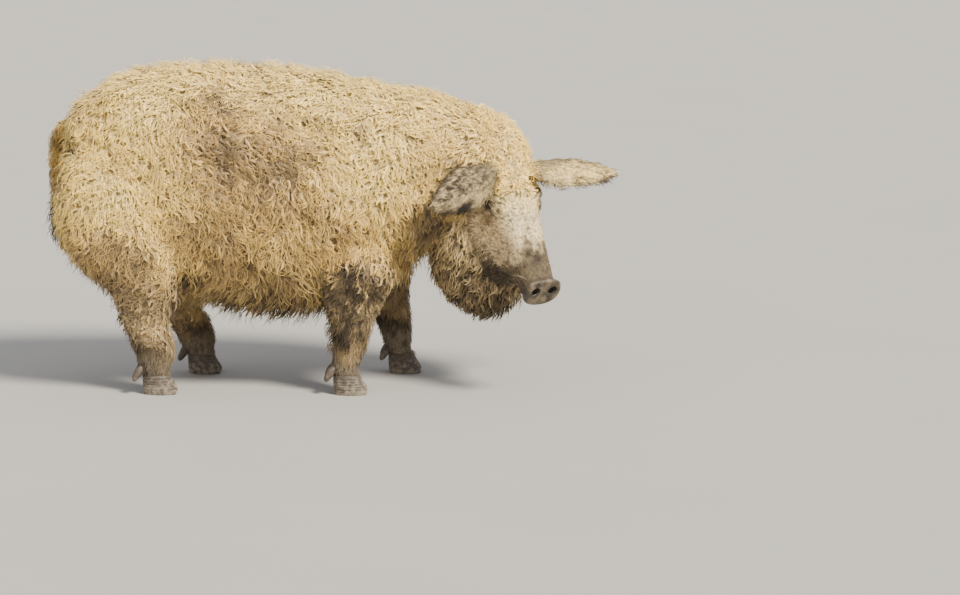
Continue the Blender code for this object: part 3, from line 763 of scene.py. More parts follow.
def wool_colour(points):
    """Cream wool with straw and tan drifts, paler along the back and in patches, dusky on the mid
    flank, browner low down, and mottled with mud at the elbows and on the belly's fringe.  Painted
    shade greys it low down and under the neck, and darkens the crevices between locks, the neck
    below the near ear and the cleft between thigh and belly."""
    x, y, z = np.moveaxis(points, -1, 0)
    drift, blotch, speck, grain = noises(points, 11, 6.0, 19.0, 60.0, 130.0)
    low = smooth_step(0.50 - z, 0.0, 0.25)
    dusk = bell(x, DUSK[0], DUSK[2]) * bell(z, DUSK[1], DUSK[2]) * (0.3 + 0.7 * smooth_step(-y, -0.10, 0.05))
    pale = sum(bell(x, at, reach) * bell(z, up, reach) for at, up, reach in PALE_PATCHES)
    pale = pale + 0.8 * smooth_step(z, 0.62, 0.76)
    haunch = smooth_step(0.50 - z, 0.0, 0.20) * smooth_step(-0.40 - x, 0.0, 0.12)
    warm = 0.24 + 0.50 * drift + 0.35 * blotch + 0.15 * grain + 0.45 * low
    warm = warm + 0.85 * dusk + 0.9 * haunch - 0.40 * pale
    brown = blotch + 0.6 * speck + 0.60 * dusk + 0.4 * drift + 0.9 * haunch - 0.6 * pale
    # painted shade: the wool greyed low on the body and under the neck, where shade falls
    shaded = np.maximum(smooth_step(0.37 - z, 0.0, 0.15),
                        smooth_step(0.47 - z, 0.0, 0.10) * smooth_step(x, 0.14, 0.24))
    # painted shade: darker brown streaks in the crevices between locks
    slanted = (points + 0.010 * drift[..., None]) * (1.0, 1.0, 0.55) + points[..., 2:] * (0.35, 0.0, 0.0)
    pit = lattice_noise(slanted, 34.0, 15) + 0.5 * lattice_noise(slanted, 15.0, 18)
    pit = 1.25 * pit + 0.30 * speck + 0.50 * dusk + 0.20 * low - 0.20 * pale
    colour = painted(CREAM, (STRAW, warm),
                     (TAN, 0.9 * smooth_step(warm + 0.5 * speck - 0.1 * drift, 0.25, 1.20)),
                     (BROWN, 0.60 * smooth_step(brown, 0.40, 1.30)),
                     (PALE, 0.8 * smooth_step(pale + 0.4 * blotch, 0.25, 1.1)),
                     (linear(152, 133, 102), 0.55 * shaded),
                     (BROWN * 0.85, 0.85 * smooth_step(pit, 0.40, 1.20)))
    colour = colour * (1.0 + 0.13 * blotch + 0.13 * lattice_noise(points, 33.0, 17))[..., None]
    # painted shadow of the near ear on the neck below it, with some noise
    painted_ear_shadow = bell(x, 0.250, 0.045) * bell(z, 0.420, 0.075) * (y < -0.05) + 0.25 * speck + 0.15 * blotch
    # painted shade in the cleft between thigh and belly
    painted_cleft_shade = bell(x + 0.2 * (z - 0.27), -0.318, 0.020) * bell(z, 0.27, 0.055) * (np.abs(y) > 0.1)
    elbow = bell(x + 0.035 * blotch + 0.03 * drift, 0.052, 0.100)
    elbow = elbow * bell(z + 0.030 * lattice_noise(points, 21.0, 16), 0.252, 0.076)
    elbow = elbow * smooth_step(np.abs(y), 0.06, 0.14)
    fringe = smooth_step(0.275 - z + 0.02 * blotch, 0.0, 0.07) * smooth_step(x, -0.34, -0.20)
    muddy = np.maximum(1.15 * elbow, 0.85 * fringe)
    muddy = muddy + (0.75 * speck + 0.75 * grain + 0.25 * blotch) * smooth_step(muddy, 0.05, 0.4)
    return painted(colour, (linear(112, 94, 68), 0.9 * smooth_step(painted_ear_shadow, 0.25, 0.80)),
                   (linear(70, 58, 42), smooth_step(painted_cleft_shade + 0.20 * speck, 0.25, 0.80)),
                   (MUD_AND_SHADE, smooth_step(muddy, 0.20, 0.70)),
                   (DARK_MUD_AND_SHADE, 0.85 * smooth_step(muddy, 0.50, 1.00)))


def head_colour(points):
    """Cream forehead, grey-tan face mottled with dust, a brown patch over the bridge, muddy snout,
    dark skin round the eyes deepened by painted shade in the sockets, cream crown, wool greyed by
    painted shade under the ears, and jowls golden above and black below with mud and painted
    shade; the chin is dark with the same."""
    z = points[..., 2]
    back, dorsal, aside = head_parts(points)
    blotch, speck, grain, fine, dust = noises(points, 21, 28.0, 85.0, 210.0, 330.0, 150.0)
    upper = smooth_step(dorsal, 0.005, 0.055)
    brow = upper * smooth_step(back + 0.010 * blotch, 0.165, 0.215)
    mottled = 0.55 * speck + 0.8 * grain + 0.45 * blotch + 0.15 * (1.0 - upper) - 0.25 * brow
    dusty = linear(80, 67, 47) * (1.0 + 0.65 * speck + 0.75 * grain + 0.45 * blotch)[..., None]
    # the chin dark: mud and painted shade under the jaw
    chin = smooth_step(-dorsal + 0.012 * blotch, 0.026, 0.048) * smooth_step(0.20 - back, 0.0, 0.05)
    sprinkle = 0.9 * dust + 0.9 * fine + 0.4 * blotch - 0.05 * brow
    face = painted(linear(196, 170, 124), (linear(226, 205, 158), upper + 0.25 * blotch),
                   (linear(112, 94, 66), 0.80 * smooth_step(mottled, 0.10, 0.95)),
                   (linear(255, 227, 152), 0.95 * brow),
                   (dusty, 0.95 * smooth_step(0.123 - back + 0.034 * blotch + 0.014 * speck, 0.0, 0.05)),
                   (linear(64, 54, 40), 0.9 * smooth_step(0.046 - back + 0.012 * speck, 0.0, 0.035)),
                   (DARK_MUD_AND_SHADE, 0.9 * chin),
                   (linear(84, 70, 48), 0.95 * smooth_step(sprinkle, 0.02, 0.70)))
    face = face * (1.06 + 0.30 * grain + 0.30 * fine)[..., None]
    cheek = smooth_step(back, 0.125, 0.175) * (1.0 - smooth_step(dorsal, 0.02, 0.06))
    patch = bell(back, 0.070, 0.026) * bell(aside, -0.006, 0.028) * upper
    face = painted(face, (linear(228, 194, 132), (0.50 + 0.35 * speck + 0.2 * grain) * cheek),
                   (linear(46, 34, 23), 1.05 * patch + 0.45 * (speck + grain) * (patch > 0.12)))
    for sign in SIDES.values():
        middle, look, slit, over = eye_axes(sign)
        off = points - middle
        # dark skin round each eye, widened and deepened as painted shade in the socket
        ring = bell(off @ slit, -0.018, 0.036) * bell(off @ over, -0.002, 0.0185)
        tear = np.linalg.norm(points - in_head(0.199, 0.008, sign * 0.068), axis=-1)
        face = painted(face, (linear(42, 32, 25), 1.3 * ring + (0.30 * speck + 0.25 * grain) * (ring > 0.12)),
                       (linear(108, 60, 40), 0.85 * bell(tear, 0.0, 0.009)))
    # the head darkens downward to the jowls' lower edge: mud and painted shade under the hanging jowls
    low = 0.75 * (0.440 - z) + 0.040 * blotch + 0.040 * speck + 0.024 * grain - 0.4 * np.maximum(dorsal, 0.0)
    wool = painted(CREAM, (STRAW, 0.30 + 0.5 * blotch + 0.2 * speck),
                   (TAN, 0.6 * smooth_step(blotch + 0.7 * speck, 0.3, 1.3)),
                   # painted shade: wool greyed below the ears, where their shade falls
                   (linear(226, 194, 132), 0.85 * smooth_step(0.50 - z + 0.02 * speck, 0.0, 0.05)),
                   (linear(140, 118, 80), 0.9 * smooth_step(low, 0.05, 0.10)),
                   (MUD_AND_SHADE, 0.7 * smooth_step(low, 0.10, 0.16)),
                   (DARK_MUD_AND_SHADE, 0.85 * smooth_step(low + 0.04 * speck + 0.02 * grain, 0.12, 0.19)))
    return painted(face, (wool, woolly(back, dorsal)))


EAR_TONES = {"right": (linear(194, 170, 124), linear(54, 42, 28)),
             "left": (linear(246, 214, 140), linear(92, 76, 50))}
EAR_DUSTY = {"right": 0.2, "left": 0.75}
# strength of the painted shade in each ear's hollow
HOLLOW_SHADE = {"right": 1.2, "left": 0.0}


def ear_colour(side, points):
    """Grey hair streaked dark along the leaf, a cream front rim near the head, and painted shade in
    the hollow and on the leaf's underside.
    """
    root, along, wide, face = ear_axes(side)
    off = points - root
    share = off @ along / along.dot(along)
    aside = off @ wide
    # painted shade on the leaf's underside: under grows as a point lies further below the leaf's arched
    # middle
    under = EAR_ARCH * np.sin(pi * np.clip(share, 0, 1)) - 8.0 * aside**2 - off @ face
    streak = lattice_noise(np.stack([share * 26.0, aside * 260.0, 0.0 * share], -1), 1.0, 31)
    blotch, grain, fine = noises(points, 32, 30.0, 150.0, 330.0)
    rear = smooth_step(aside, -0.024, 0.026) * smooth_step(share, 0.0, 0.25)
    rear = rear * (1.0 - smooth_step(share, 0.72, 0.98))
    dark = 0.41 + 0.46 * rear + 0.45 * streak + 0.20 * blotch + 0.55 * (grain + fine)
    dull = EAR_DUSTY[side] * bell(share, 0.18, 0.15) * smooth_step(aside, -0.028, 0.0)
    rim = smooth_step(-aside, 0.016, 0.040) * (1.0 - smooth_step(share, 0.25, 0.55))
    rim = rim * smooth_step(share, -0.06, 0.06)
    # painted shade in the hollow where the front rim turns under
    hollow = bell(share, 0.62, 0.16) * smooth_step(-aside, 0.021, 0.034)
    light, deep = EAR_TONES[side]
    return painted(light, (deep, dark), (linear(120, 104, 78), dull),
                   (CREAM, 0.8 * smooth_step(0.02 - share + 0.04 * blotch, 0.0, 0.10)),
                   (linear(240, 214, 150), 0.8 * rim), (linear(30, 24, 19), HOLLOW_SHADE[side] * hollow),
                   (linear(70, 54, 40), 0.85 * smooth_step(under, 0.000, 0.004)))


RUFFLE = 0.030                      # height of one ruffle of wool on the hind leg
RUFFLE_TOP = 0.31
WOOL_MARKS_END = {"fore": 0.195, "hind": 0.120}         # height where the wool's markings fade


def ruffle_part(points):
    """Place within a ruffle, 0 at its lower edge to 1 at its upper one, and how far there are any."""
    z = points[..., 2]
    part = (z + 0.007 * lattice_noise(points, 22.0, 73) + 0.05 * points[..., 0]) / RUFFLE % 1.0
    return part, 1.0 - smooth_step(z, RUFFLE_TOP - 0.05, RUFFLE_TOP)


def leg_colour(which, points):
    """Wool above, darkened as painted shade in the grooves between the hind leg's ruffles; below it
    short tan hair that turns into grey dried mud at the feet.
    """
    z = points[..., 2]
    speck, blotch = noises(points, 41, 70.0, 24.0)
    dried = linear(112, 99, 78) * (1.0 + 0.5 * speck + 0.3 * blotch)[..., None]
    splashed = smooth_step(speck + blotch * 0.6, 0.3, 1.0) * smooth_step(0.20 - z, 0.0, 0.07)
    hair = painted(linear(164, 136, 90), (linear(70, 58, 40), 0.64 + 0.7 * blotch + 0.7 * speck),
                   (dried, smooth_step(0.12 - z + 0.03 * blotch, 0.0, 0.05)), (DARK_MUD_AND_SHADE, 0.8 * splashed))
    top = WOOL_MARKS_END[which]
    wool = wool_colour(points)
    if which == "hind":
        part, any_ruffle = ruffle_part(points)
        # painted shade in the grooves between the ruffles
        wool = wool * (1.08 - 0.50 * smooth_step(part, 0.45, 1.0) * any_ruffle)[..., None]
    return painted(hair, (wool, smooth_step(z + 0.012 * blotch, top, top + 0.035)))


def tail_colour(points):
    """The wool's markings, browner down the tail, with a dark tuft."""
    z = points[..., 2]
    speck = lattice_noise(points, 70.0, 96)
    down = smooth_step(TAIL[0, 2] - z + 0.03 * speck, 0.06, 0.22)
    return painted(wool_colour(points), (linear(150, 120, 78), 0.10 + 0.55 * down),
                   (linear(70, 56, 39), 0.85 * smooth_step(0.47 - z + 0.03 * speck, 0.0, 0.06)))


def set_colours(mesh, colours):
    """Store one linear colour for each point in the attribute that the materials read.  A colour
    brighter than full is scaled down whole, so that it keeps its hue."""
    attribute = mesh.attributes.new("markings", "FLOAT_COLOR", "POINT")
    flat = np.ones((len(colours), 4), np.float32)
    colours = np.clip(colours, 0.0, None)
    flat[:, :3] = colours / np.maximum(colours.max(axis=-1, keepdims=True), 1.0)
    attribute.data.foreach_set("color", flat.ravel())


def set_values(mesh, name, values):
    """Store a number, or a vector, for each point under this name."""
    kind, field = ("FLOAT", "value") if values.ndim == 1 else ("FLOAT_VECTOR", "vector")
    mesh.attributes.new(name, kind, "POINT").data.foreach_set(field, values.astype(np.float32).ravel())


NAP = 5.0                           # hair marks on the skin are this much longer along the lie
skin_colours = wool_colour(skin_points)
nap = skin_points * (1.0, 1.0, 1.0 / NAP)
for name in dict.fromkeys(PARTS[1:].tolist()):
    mine = part_of == name
    points = skin_points[mine]
    if name == "head":
        skin_colours[mine] = head_colour(points)
        back, dorsal, aside = head_parts(points)
        nap[mine] = np.stack([back / NAP, dorsal, aside], -1)
    elif name.startswith("ear_"):
        skin_colours[mine] = ear_colour(name[4:], points)
        root, along, wide, face = ear_axes(name[4:])
        off = points - root
        nap[mine] = np.stack([off @ unit(along) / NAP, off @ wide, off @ face], -1)
    elif name == "tail":
        skin_colours[mine] = 0.85 * tail_colour(points)
    else:
        skin_colours[mine] = leg_colour(name, points)

back, dorsal, aside = head_parts(skin_points)
on_head = part_of == "head"
under_wool = np.select([on_head, np.char.startswith(part_of, "ear_"), on_leg, part_of == "tail"],
                       [woolly(back, dorsal), 0.0, smooth_step(skin_points[:, 2], 0.14, 0.20), 0.3], 1.0)
off_plate = skin_points - disc_middle
plate = smooth_step((skin_points - disc_start) @ disc_ahead, -0.002, 0.001)
plate = plate * smooth_step(0.02 - back, 0.0, 0.006) * on_head
pores = lattice_noise(skin_points, 260.0, 51)
smear = lattice_noise(skin_points, 75.0, 52)
plate_colour = painted(linear(122, 106, 80), (linear(52, 44, 35), 0.50 + 0.7 * smear + 0.40 * pores))
moist = 0.55 * plate
for sign in SIDES.values():
    reach = np.hypot((off_plate @ LEFT - sign * NOSTRIL[0]) / NOSTRIL_SIZE[0],
                     (off_plate @ disc_dorsal - NOSTRIL[1]) / NOSTRIL_SIZE[1])
    inside = (1.0 - smooth_step(reach, 0.85, 1.15)) * smooth_step(-(off_plate @ disc_ahead), 0.001, 0.005)
    # painted shade: the inside of each nostril's pit is nearly black
    plate_colour = painted(plate_colour, (linear(44, 35, 27), 0.85 * (1.0 - smooth_step(reach, 1.0, 1.6))),
                           (linear(8, 6, 5), inside))
    moist = np.maximum(moist, plate * (1.0 - smooth_step(reach, 1.0, 1.5)))
# painted shade: the skin under the wool is greyed towards a dull tan
set_colours(united, painted(skin_colours, (plate_colour, plate), (linear(140, 122, 92), 0.70 * under_wool)))
for name, values in (("under_wool", under_wool), ("moist", moist), ("nap", nap)):
    set_values(united, name, values)

nodes = Nodes("skin")
place = nodes.make("TexCoord")["Object"]
marks = nodes.stored("markings", "Color")
moist = nodes.stored("moist")
deep = nodes.stored("under_wool")
lying = nodes.stored("nap", "Vector")
hairs = nodes.noise(lying, 800.0, 3.0, 0.6)
curls = nodes.make("TexNoise", {"Vector": place, "Scale": 90.0, "Detail": 4.0, "Roughness": 0.6,
                                "Distortion": 2.2})["Fac"]
grain = nodes.noise(place, 900.0, 3.0)
relief = nodes.blend("MIX", deep, hairs, curls)
relief = nodes.blend("MIX", moist, relief, grain)
tone = nodes.ramp(relief, 0.30, 0.70, 0.52, 1.36)
united.materials.append(nodes.finish(
    Base_Color=nodes.blend("MULTIPLY", 1.0, marks, tone),
    Roughness=nodes.ramp(moist, 0.0, 1.0, 0.82, 0.14),
    Normal=nodes.bump(relief, 0.0035, 0.55)))
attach(skin, "root")
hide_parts("trunk", "neck", "head", "lower_jaw", "snout_disc", "ear_left", "ear_right", "tail",
            *(leg + side for leg in ("foreleg_upper_", "foreleg_lower_", "hindleg_upper_", "hindleg_lower_")
              for side in SIDES))


# ---- eyes -----------------------------------------------------------------------------------
# Small wet balls deep between the lids: dark brown iris, a lying oval pupil, a clear bulge of
# cornea in front and a dull brownish white that hardly shows.
nodes = Nodes("eye")
gaze = nodes.stored("gaze")
pupil = nodes.stored("pupil")
place = nodes.make("TexCoord")["Object"]
streaks = nodes.noise(place, 1500.0, 3.0)
iris = nodes.blend("MIX", streaks, linear(44, 24, 12), linear(92, 54, 28))
white = nodes.blend("MIX", nodes.noise(place, 400.0), linear(120, 92, 74), linear(150, 124, 104))
colour = nodes.blend("MIX", nodes.ramp(gaze, 0.50, 0.58), iris, white)
colour = nodes.blend("MIX", nodes.ramp(pupil, 0.9, 1.1, 1.0, 0.0), colour, (0.002, 0.002, 0.002))
eye_material = nodes.finish(Base_Color=colour, Roughness=0.08, Coat_Weight=1.0, Coat_Roughness=0.02)
CORNEA = 0.0008                     # how far the cornea stands out of the ball
for side, sign in SIDES.items():
    middle, look, slit, over = eye_axes(sign)
    polar = np.linspace(0.02, pi - 0.02, 64)[:, None]
    turn = turns(64)[None, :]
    radius = EYE_RADIUS - 0.0002 + CORNEA * np.clip(1.0 - (polar / 0.55) ** 2, 0.0, None) ** 2
    ahead, up = np.sin(polar) * np.cos(turn), np.sin(polar) * np.sin(turn)
    ball = middle + radius[..., None] * (np.cos(polar)[..., None] * look + ahead[..., None] * slit
                                         + up[..., None] * over)
    eyeball = grid_mesh("eyeball_" + side, ball)
    mesh = eyeball.data
    mesh.shade_smooth()
    mesh.materials.append(eye_material)
    gaze_values = np.append((polar + 0.0 * turn).ravel(), (0.0, pi))
    pupil_values = np.append(np.hypot(ahead / 0.26, up / 0.17).ravel(), (0.0, 9.0))
    pupil_values[gaze_values > 1.5] = 9.0
    set_values(mesh, "gaze", gaze_values)
    set_values(mesh, "pupil", pupil_values)
    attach(eyeball, "root")
    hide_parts("eye_" + side)


# ---- hooves and dewclaws --------------------------------------------------------------------
# Two main toes a foot end in horn shoes, flat below, rounded in front and ringed by growth; two
# short dewclaws hang behind.  The horn is nearly black, scuffed and dusty with dried mud.
CLAW = (0.078, 0.0165, 0.0475)      # length, half width, height of one toe's shoe
CLAW_RINGS = np.array([(0.0, 0.97, 0.95, 0.010), (0.04, 1.0, 0.985, 0.010), (0.12, 1.02, 1.0, 0.010),
                       (0.55, 0.90, 1.0, 0.004), (0.94, 0.76, 0.95, -0.001), (1.0, 0.68, 0.86, -0.002)])
CLAW_TAPER = 0.30
CLAW_APART = 0.0195
CLAW_SPLAY = radians(5)
GROWTH_RING = 0.00035               # height of the ridges that growth leaves round the shoe
DEWCLAW_LENGTH = 0.040
DEWCLAW_RADIUS = 0.010
DEWCLAW_PLACE = (0.012, 0.020, 0.066)
DEWCLAW_WAY = np.array((-0.62, 0.25, -0.72))
DEWCLAW_SHAPE = np.array([(0.0, 0.75), (0.35, 1.0), (0.75, 0.80), (0.95, 0.45), (1.0, 0.18)])
TOES = {"outer": 1.0, "inner": -1.0}

nodes = Nodes("hoof_horn")
place = nodes.make("TexCoord")["Object"]
squashed = nodes.make("Mapping", {"Vector": place, "Scale": (1.0, 1.0, 9.0)})["Vector"]
rings = nodes.noise(squashed, 60.0, 4.0, 0.6)
dust = nodes.noise(place, 85.0, 5.0, 0.65)
horn = nodes.blend("MIX", rings, linear(46, 40, 35), linear(92, 80, 66))
height_up = nodes.make("SeparateXYZ", {"Vector": place})["Z"]
dustier = nodes.ramp(height_up, 0.0, 0.05, 0.16, -0.03)
low_dust = nodes.make("Math", {0: dust, 1: dustier}, operation="ADD")["Value"]
horn_material = nodes.finish(
    Base_Color=nodes.blend("MIX", nodes.ramp(low_dust, 0.52, 0.70, 0.0, 0.85), horn, linear(134, 122, 104)),
    Roughness=nodes.ramp(dust, 0.35, 0.65, 0.45, 0.80),
    Normal=nodes.bump(rings, 0.0012, 0.6, nodes.bump(dust, 0.0008, 0.5)))


def claw_grid(which, side, toe):
    """Ovals stacked from the flat sole to the coronet, narrower towards the toe's tip and leaning
    in upwards, with fine ridges of growth."""
    x, y = leg_table(which, side)[-1, :2]
    length, half_width, height = CLAW
    sign = SIDES[side] * TOES[toe]
    turn = turns(48)[None, :]
    rise = np.concatenate([np.linspace(0.0, 0.12, 5), np.linspace(0.15, 0.92, 30), [0.95, 0.975, 1.0]])
    long, wide, shift = np.moveaxis(smooth_through(CLAW_RINGS[:, 0], CLAW_RINGS[:, 1:], rise), -1, 0)
    ridge = GROWTH_RING * np.sin(rise * 46.0 + 0.7 * np.sin(rise * 13.0)) * smooth_step(rise, 0.1, 0.2)
    taper = 1.0 - CLAW_TAPER * np.clip(np.cos(turn), 0.0, 1.0) ** 2
    ahead = np.cos(turn) * (length / 2 * long + ridge)[:, None]
    aside = np.sin(turn) * (half_width * wide + ridge)[:, None] * taper
    splay = sign * CLAW_SPLAY
    return np.stack([x + shift[:, None] + ahead * cos(splay) - aside * sin(splay),
                     y + sign * CLAW_APART + ahead * sin(splay) + aside * cos(splay),
                     (rise * height)[:, None] + 0.0 * turn], -1)


def dewclaw_grid(which, side, toe):
    """Round horn that bends down towards its blunt tip."""
    x, y, _, half_length, _ = leg_table(which, side)[-1]
    ahead, beside, height = DEWCLAW_PLACE
    sign = SIDES[side] * TOES[toe]
    way = unit(DEWCLAW_WAY * (1.0, sign, 1.0))
    first = unit(np.cross(way, (0.0, 0.0, 1.0)))
    share = np.linspace(0.0, 1.0, 22)
    size = smooth_through(DEWCLAW_SHAPE[:, 0], DEWCLAW_SHAPE[:, 1:], share)[:, 0] * DEWCLAW_RADIUS
    size = size + 0.0003 * np.sin(share * 40.0)
    turn = turns(24)[None, :, None]
    start = np.array((x - half_length + ahead, y + sign * beside, height))
    line = start + way * (share * DEWCLAW_LENGTH)[:, None]
    line = line + np.array((0.5, 0.0, -0.4)) * (0.006 * share**2)[:, None]
    return line[:, None] + size[:, None, None] * (np.cos(turn) * first + np.sin(turn) * np.cross(way, first))


for which, side in leg_grids:
    for toe in TOES:
        for kind, grid_of in (("hoof", claw_grid), ("_dewclaw", dewclaw_grid)):
            node = "_".join((which + kind, toe, side))
            horn = grid_mesh(node + "_horn", grid_of(which, side, toe))
            horn.data.shade_smooth()
            horn.data.set_sharp_from_angle(angle=radians(55))
            horn.data.materials.append(horn_material)
            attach(horn, "root")
            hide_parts(node)


# ---- wool of trunk and neck -----------------------------------------------------------------
# Dense curly wool three to six centimetres long.  Locks of a few strands share a root, a lie and
# a curl; each strand is a thin closed three-sided tube that tapers to its tip.
WOOL_SHARE = 1.0
LOCKS = 3400.0                      # locks on a square metre of the back
LOCK_RADIUS = 0.0105
UNDER_TUFTS = 7500.0                # broad tufts of underwool on a square metre
UNDER_WIDTH = (0.0050, 0.0085)
UNDER_STEPS = (0.0, 0.40, 0.72, 1.0)
WOOL_STEPS = (0.0, 0.28, 0.48, 0.66, 0.83, 1.0)         # rings of a tuft, closer where it curls
CURL_FROM = 0.16                    # share of its length at which a strand begins to curl
PATCH = 0.003                       # size of one strand's patch in the map of the coat's colours
RIDGE = 0.75                        # height of a tuft's ridge, as a share of half its width
TWIST = 0.7                         # most that a tuft turns about its own length, in radians
FIBRES = 9.0                        # streaks across a tuft
DULL = 0.40                         # painted shade: how much greyer a tuft is at its root
SUNK = 0.0012                       # depth of the roots in the skin

skin_tree = BVHTree.FromPolygons(skin_points.tolist(), [tuple(face.vertices) for face in united.polygons])


def tube_tree(grids):
    """Search tree over the quads of several closed tubes."""
    points, faces, first = [], [], 0
    for grid in grids:
        rows, around = grid.shape[:2]
        faces += (first + tube_quads(rows, around)).tolist()
        points.append(grid.reshape(-1, 3))
        first += rows * around
    return BVHTree.FromPolygons(np.vstack(points).tolist(), faces)


ear_tree = tube_tree(ear_grids.values())


def planted(grid, wanted, random):
    """Even random places on a tube's grid: each cell gets its share of the total by its area and
    the wanted number for a square metre.  Gives points, outward normals and places on the tube's
    own unwrap, turn and row, both 0 to 1."""
    closed = np.concatenate([grid, grid[:, :1]], axis=1)
    normals = grid_normals(grid)
    normals = np.concatenate([normals, normals[:, :1]], axis=1)
    corner = [closed[:-1, :-1], closed[1:, :-1], closed[:-1, 1:], closed[1:, 1:]]
    area = 0.5 * np.linalg.norm(np.cross(corner[3] - corner[0], corner[2] - corner[1]), axis=-1)
    total = np.concatenate([[0.0], np.cumsum((area * wanted(sum(corner) / 4.0) * WOOL_SHARE).ravel())])
    count = int(total[-1])
    at = (np.arange(count) + random.random(count)) * total[-1] / count
    row, column = np.divmod(np.clip(np.searchsorted(total, at) - 1, 0, len(total) - 2), grid.shape[1])
    down, across = random.random((2, count, 1))

    def between(values):
        """Values inside the cells, in proportion."""
        return ((values[row, column] * (1 - across) + values[row, column + 1] * across) * (1 - down)
                + (values[row + 1, column] * (1 - across) + values[row + 1, column + 1] * across) * down)

    unwrap = np.column_stack([(column + across[:, 0]) / grid.shape[1], (row + down[:, 0]) / (len(grid) - 1)])
    return between(closed), unit(between(normals)), unwrap


def on_skin(points, reach):
    """Nearest places on the skin, the skin's normals there, and which points lie within reach."""
    found = [skin_tree.find_nearest(point) for point in points.tolist()]
    place = np.array([hit[0] for hit in found])
    normal = np.array([hit[1] for hit in found])
    return place, normal, np.linalg.norm(place - points, axis=1) < reach


def laid(way, normal):
    """The way drawn onto the surface, at length 1."""
    return unit(way - normal * (way * normal).sum(-1, keepdims=True))


def swirled(way, normal, angle):
    """The way drawn onto the surface and turned about the normal by an angle."""
    way = laid(way, normal)
    return way * np.cos(angle)[:, None] + np.cross(normal, way) * np.sin(angle)[:, None]


def curl(random, count, length, lift, rest, hook, swing=(0.1, 0.5), loop=(0.1, 0.5), sag=0.1):
    """Numbers of count curls, each even between its two limits.  A hook turns either way."""
    names = {"length": length, "lift": lift, "rest": rest, "hook": hook, "swing": swing, "loop": loop,
             "waves": (0.8, 1.3), "phase": (0.0, 2.0 * pi), "sag": (sag, sag)}
    shape = {name: random.uniform(*limits, count) for name, limits in names.items()}
    shape["hook"] *= random.choice((-1.0, 1.0), count)
    return shape


def curled(root, normal, lie, shape, steps):
    """Lines of the strands.  A strand leaves the skin at its lift and leans over to its rest; its
    heading winds from half its hook on one side of the lie to half on the other, so that the
    curl's chord follows the lie, and wavers; its rise waves too, and sag bends the tip down."""
    steps = np.array(steps)
    middle = (steps[1:] + steps[:-1]) / 2
    outer = np.clip((middle - CURL_FROM) / (1.0 - CURL_FROM), 0.0, 1.0)
    own = {name: values[:, None] for name, values in shape.items()}
    wave = 2.0 * pi * own["waves"] * middle + own["phase"]
    heading = own["hook"] * (outer - 0.5) + own["swing"] * np.sin(wave)
    rise = own["rest"] + (own["lift"] - own["rest"]) * (1.0 - middle) ** 1.4
    rise = rise + own["loop"] * np.cos(wave) * middle
    side = np.cross(normal, lie)
    step = (np.cos(rise)[..., None] * (np.cos(heading)[..., None] * lie[:, None]
                                       + np.sin(heading)[..., None] * side[:, None])
            + np.sin(rise)[..., None] * normal[:, None])
    step[..., 2] -= own["sag"] * middle
    step = unit(step) * (own["length"] * np.diff(steps))[..., None]
    return np.concatenate([root[:, None], root[:, None] + np.cumsum(step, axis=1)], axis=1)


def strand_faces(rings):
    """Triangles of one tube: a cap at its root, three sides, and a point at its tip."""
    faces = [(0, 2, 1)]
    for ring in range(rings - 2):
        for corner in range(3):
            low, after = 3 * ring + corner, 3 * ring + (corner + 1) % 3
            faces += [(low, after, after + 3), (low, after + 3, low + 3)]
    last = 3 * (rings - 2)
    return np.array(faces + [(last + corner, last + (corner + 1) % 3, last + 3) for corner in range(3)])


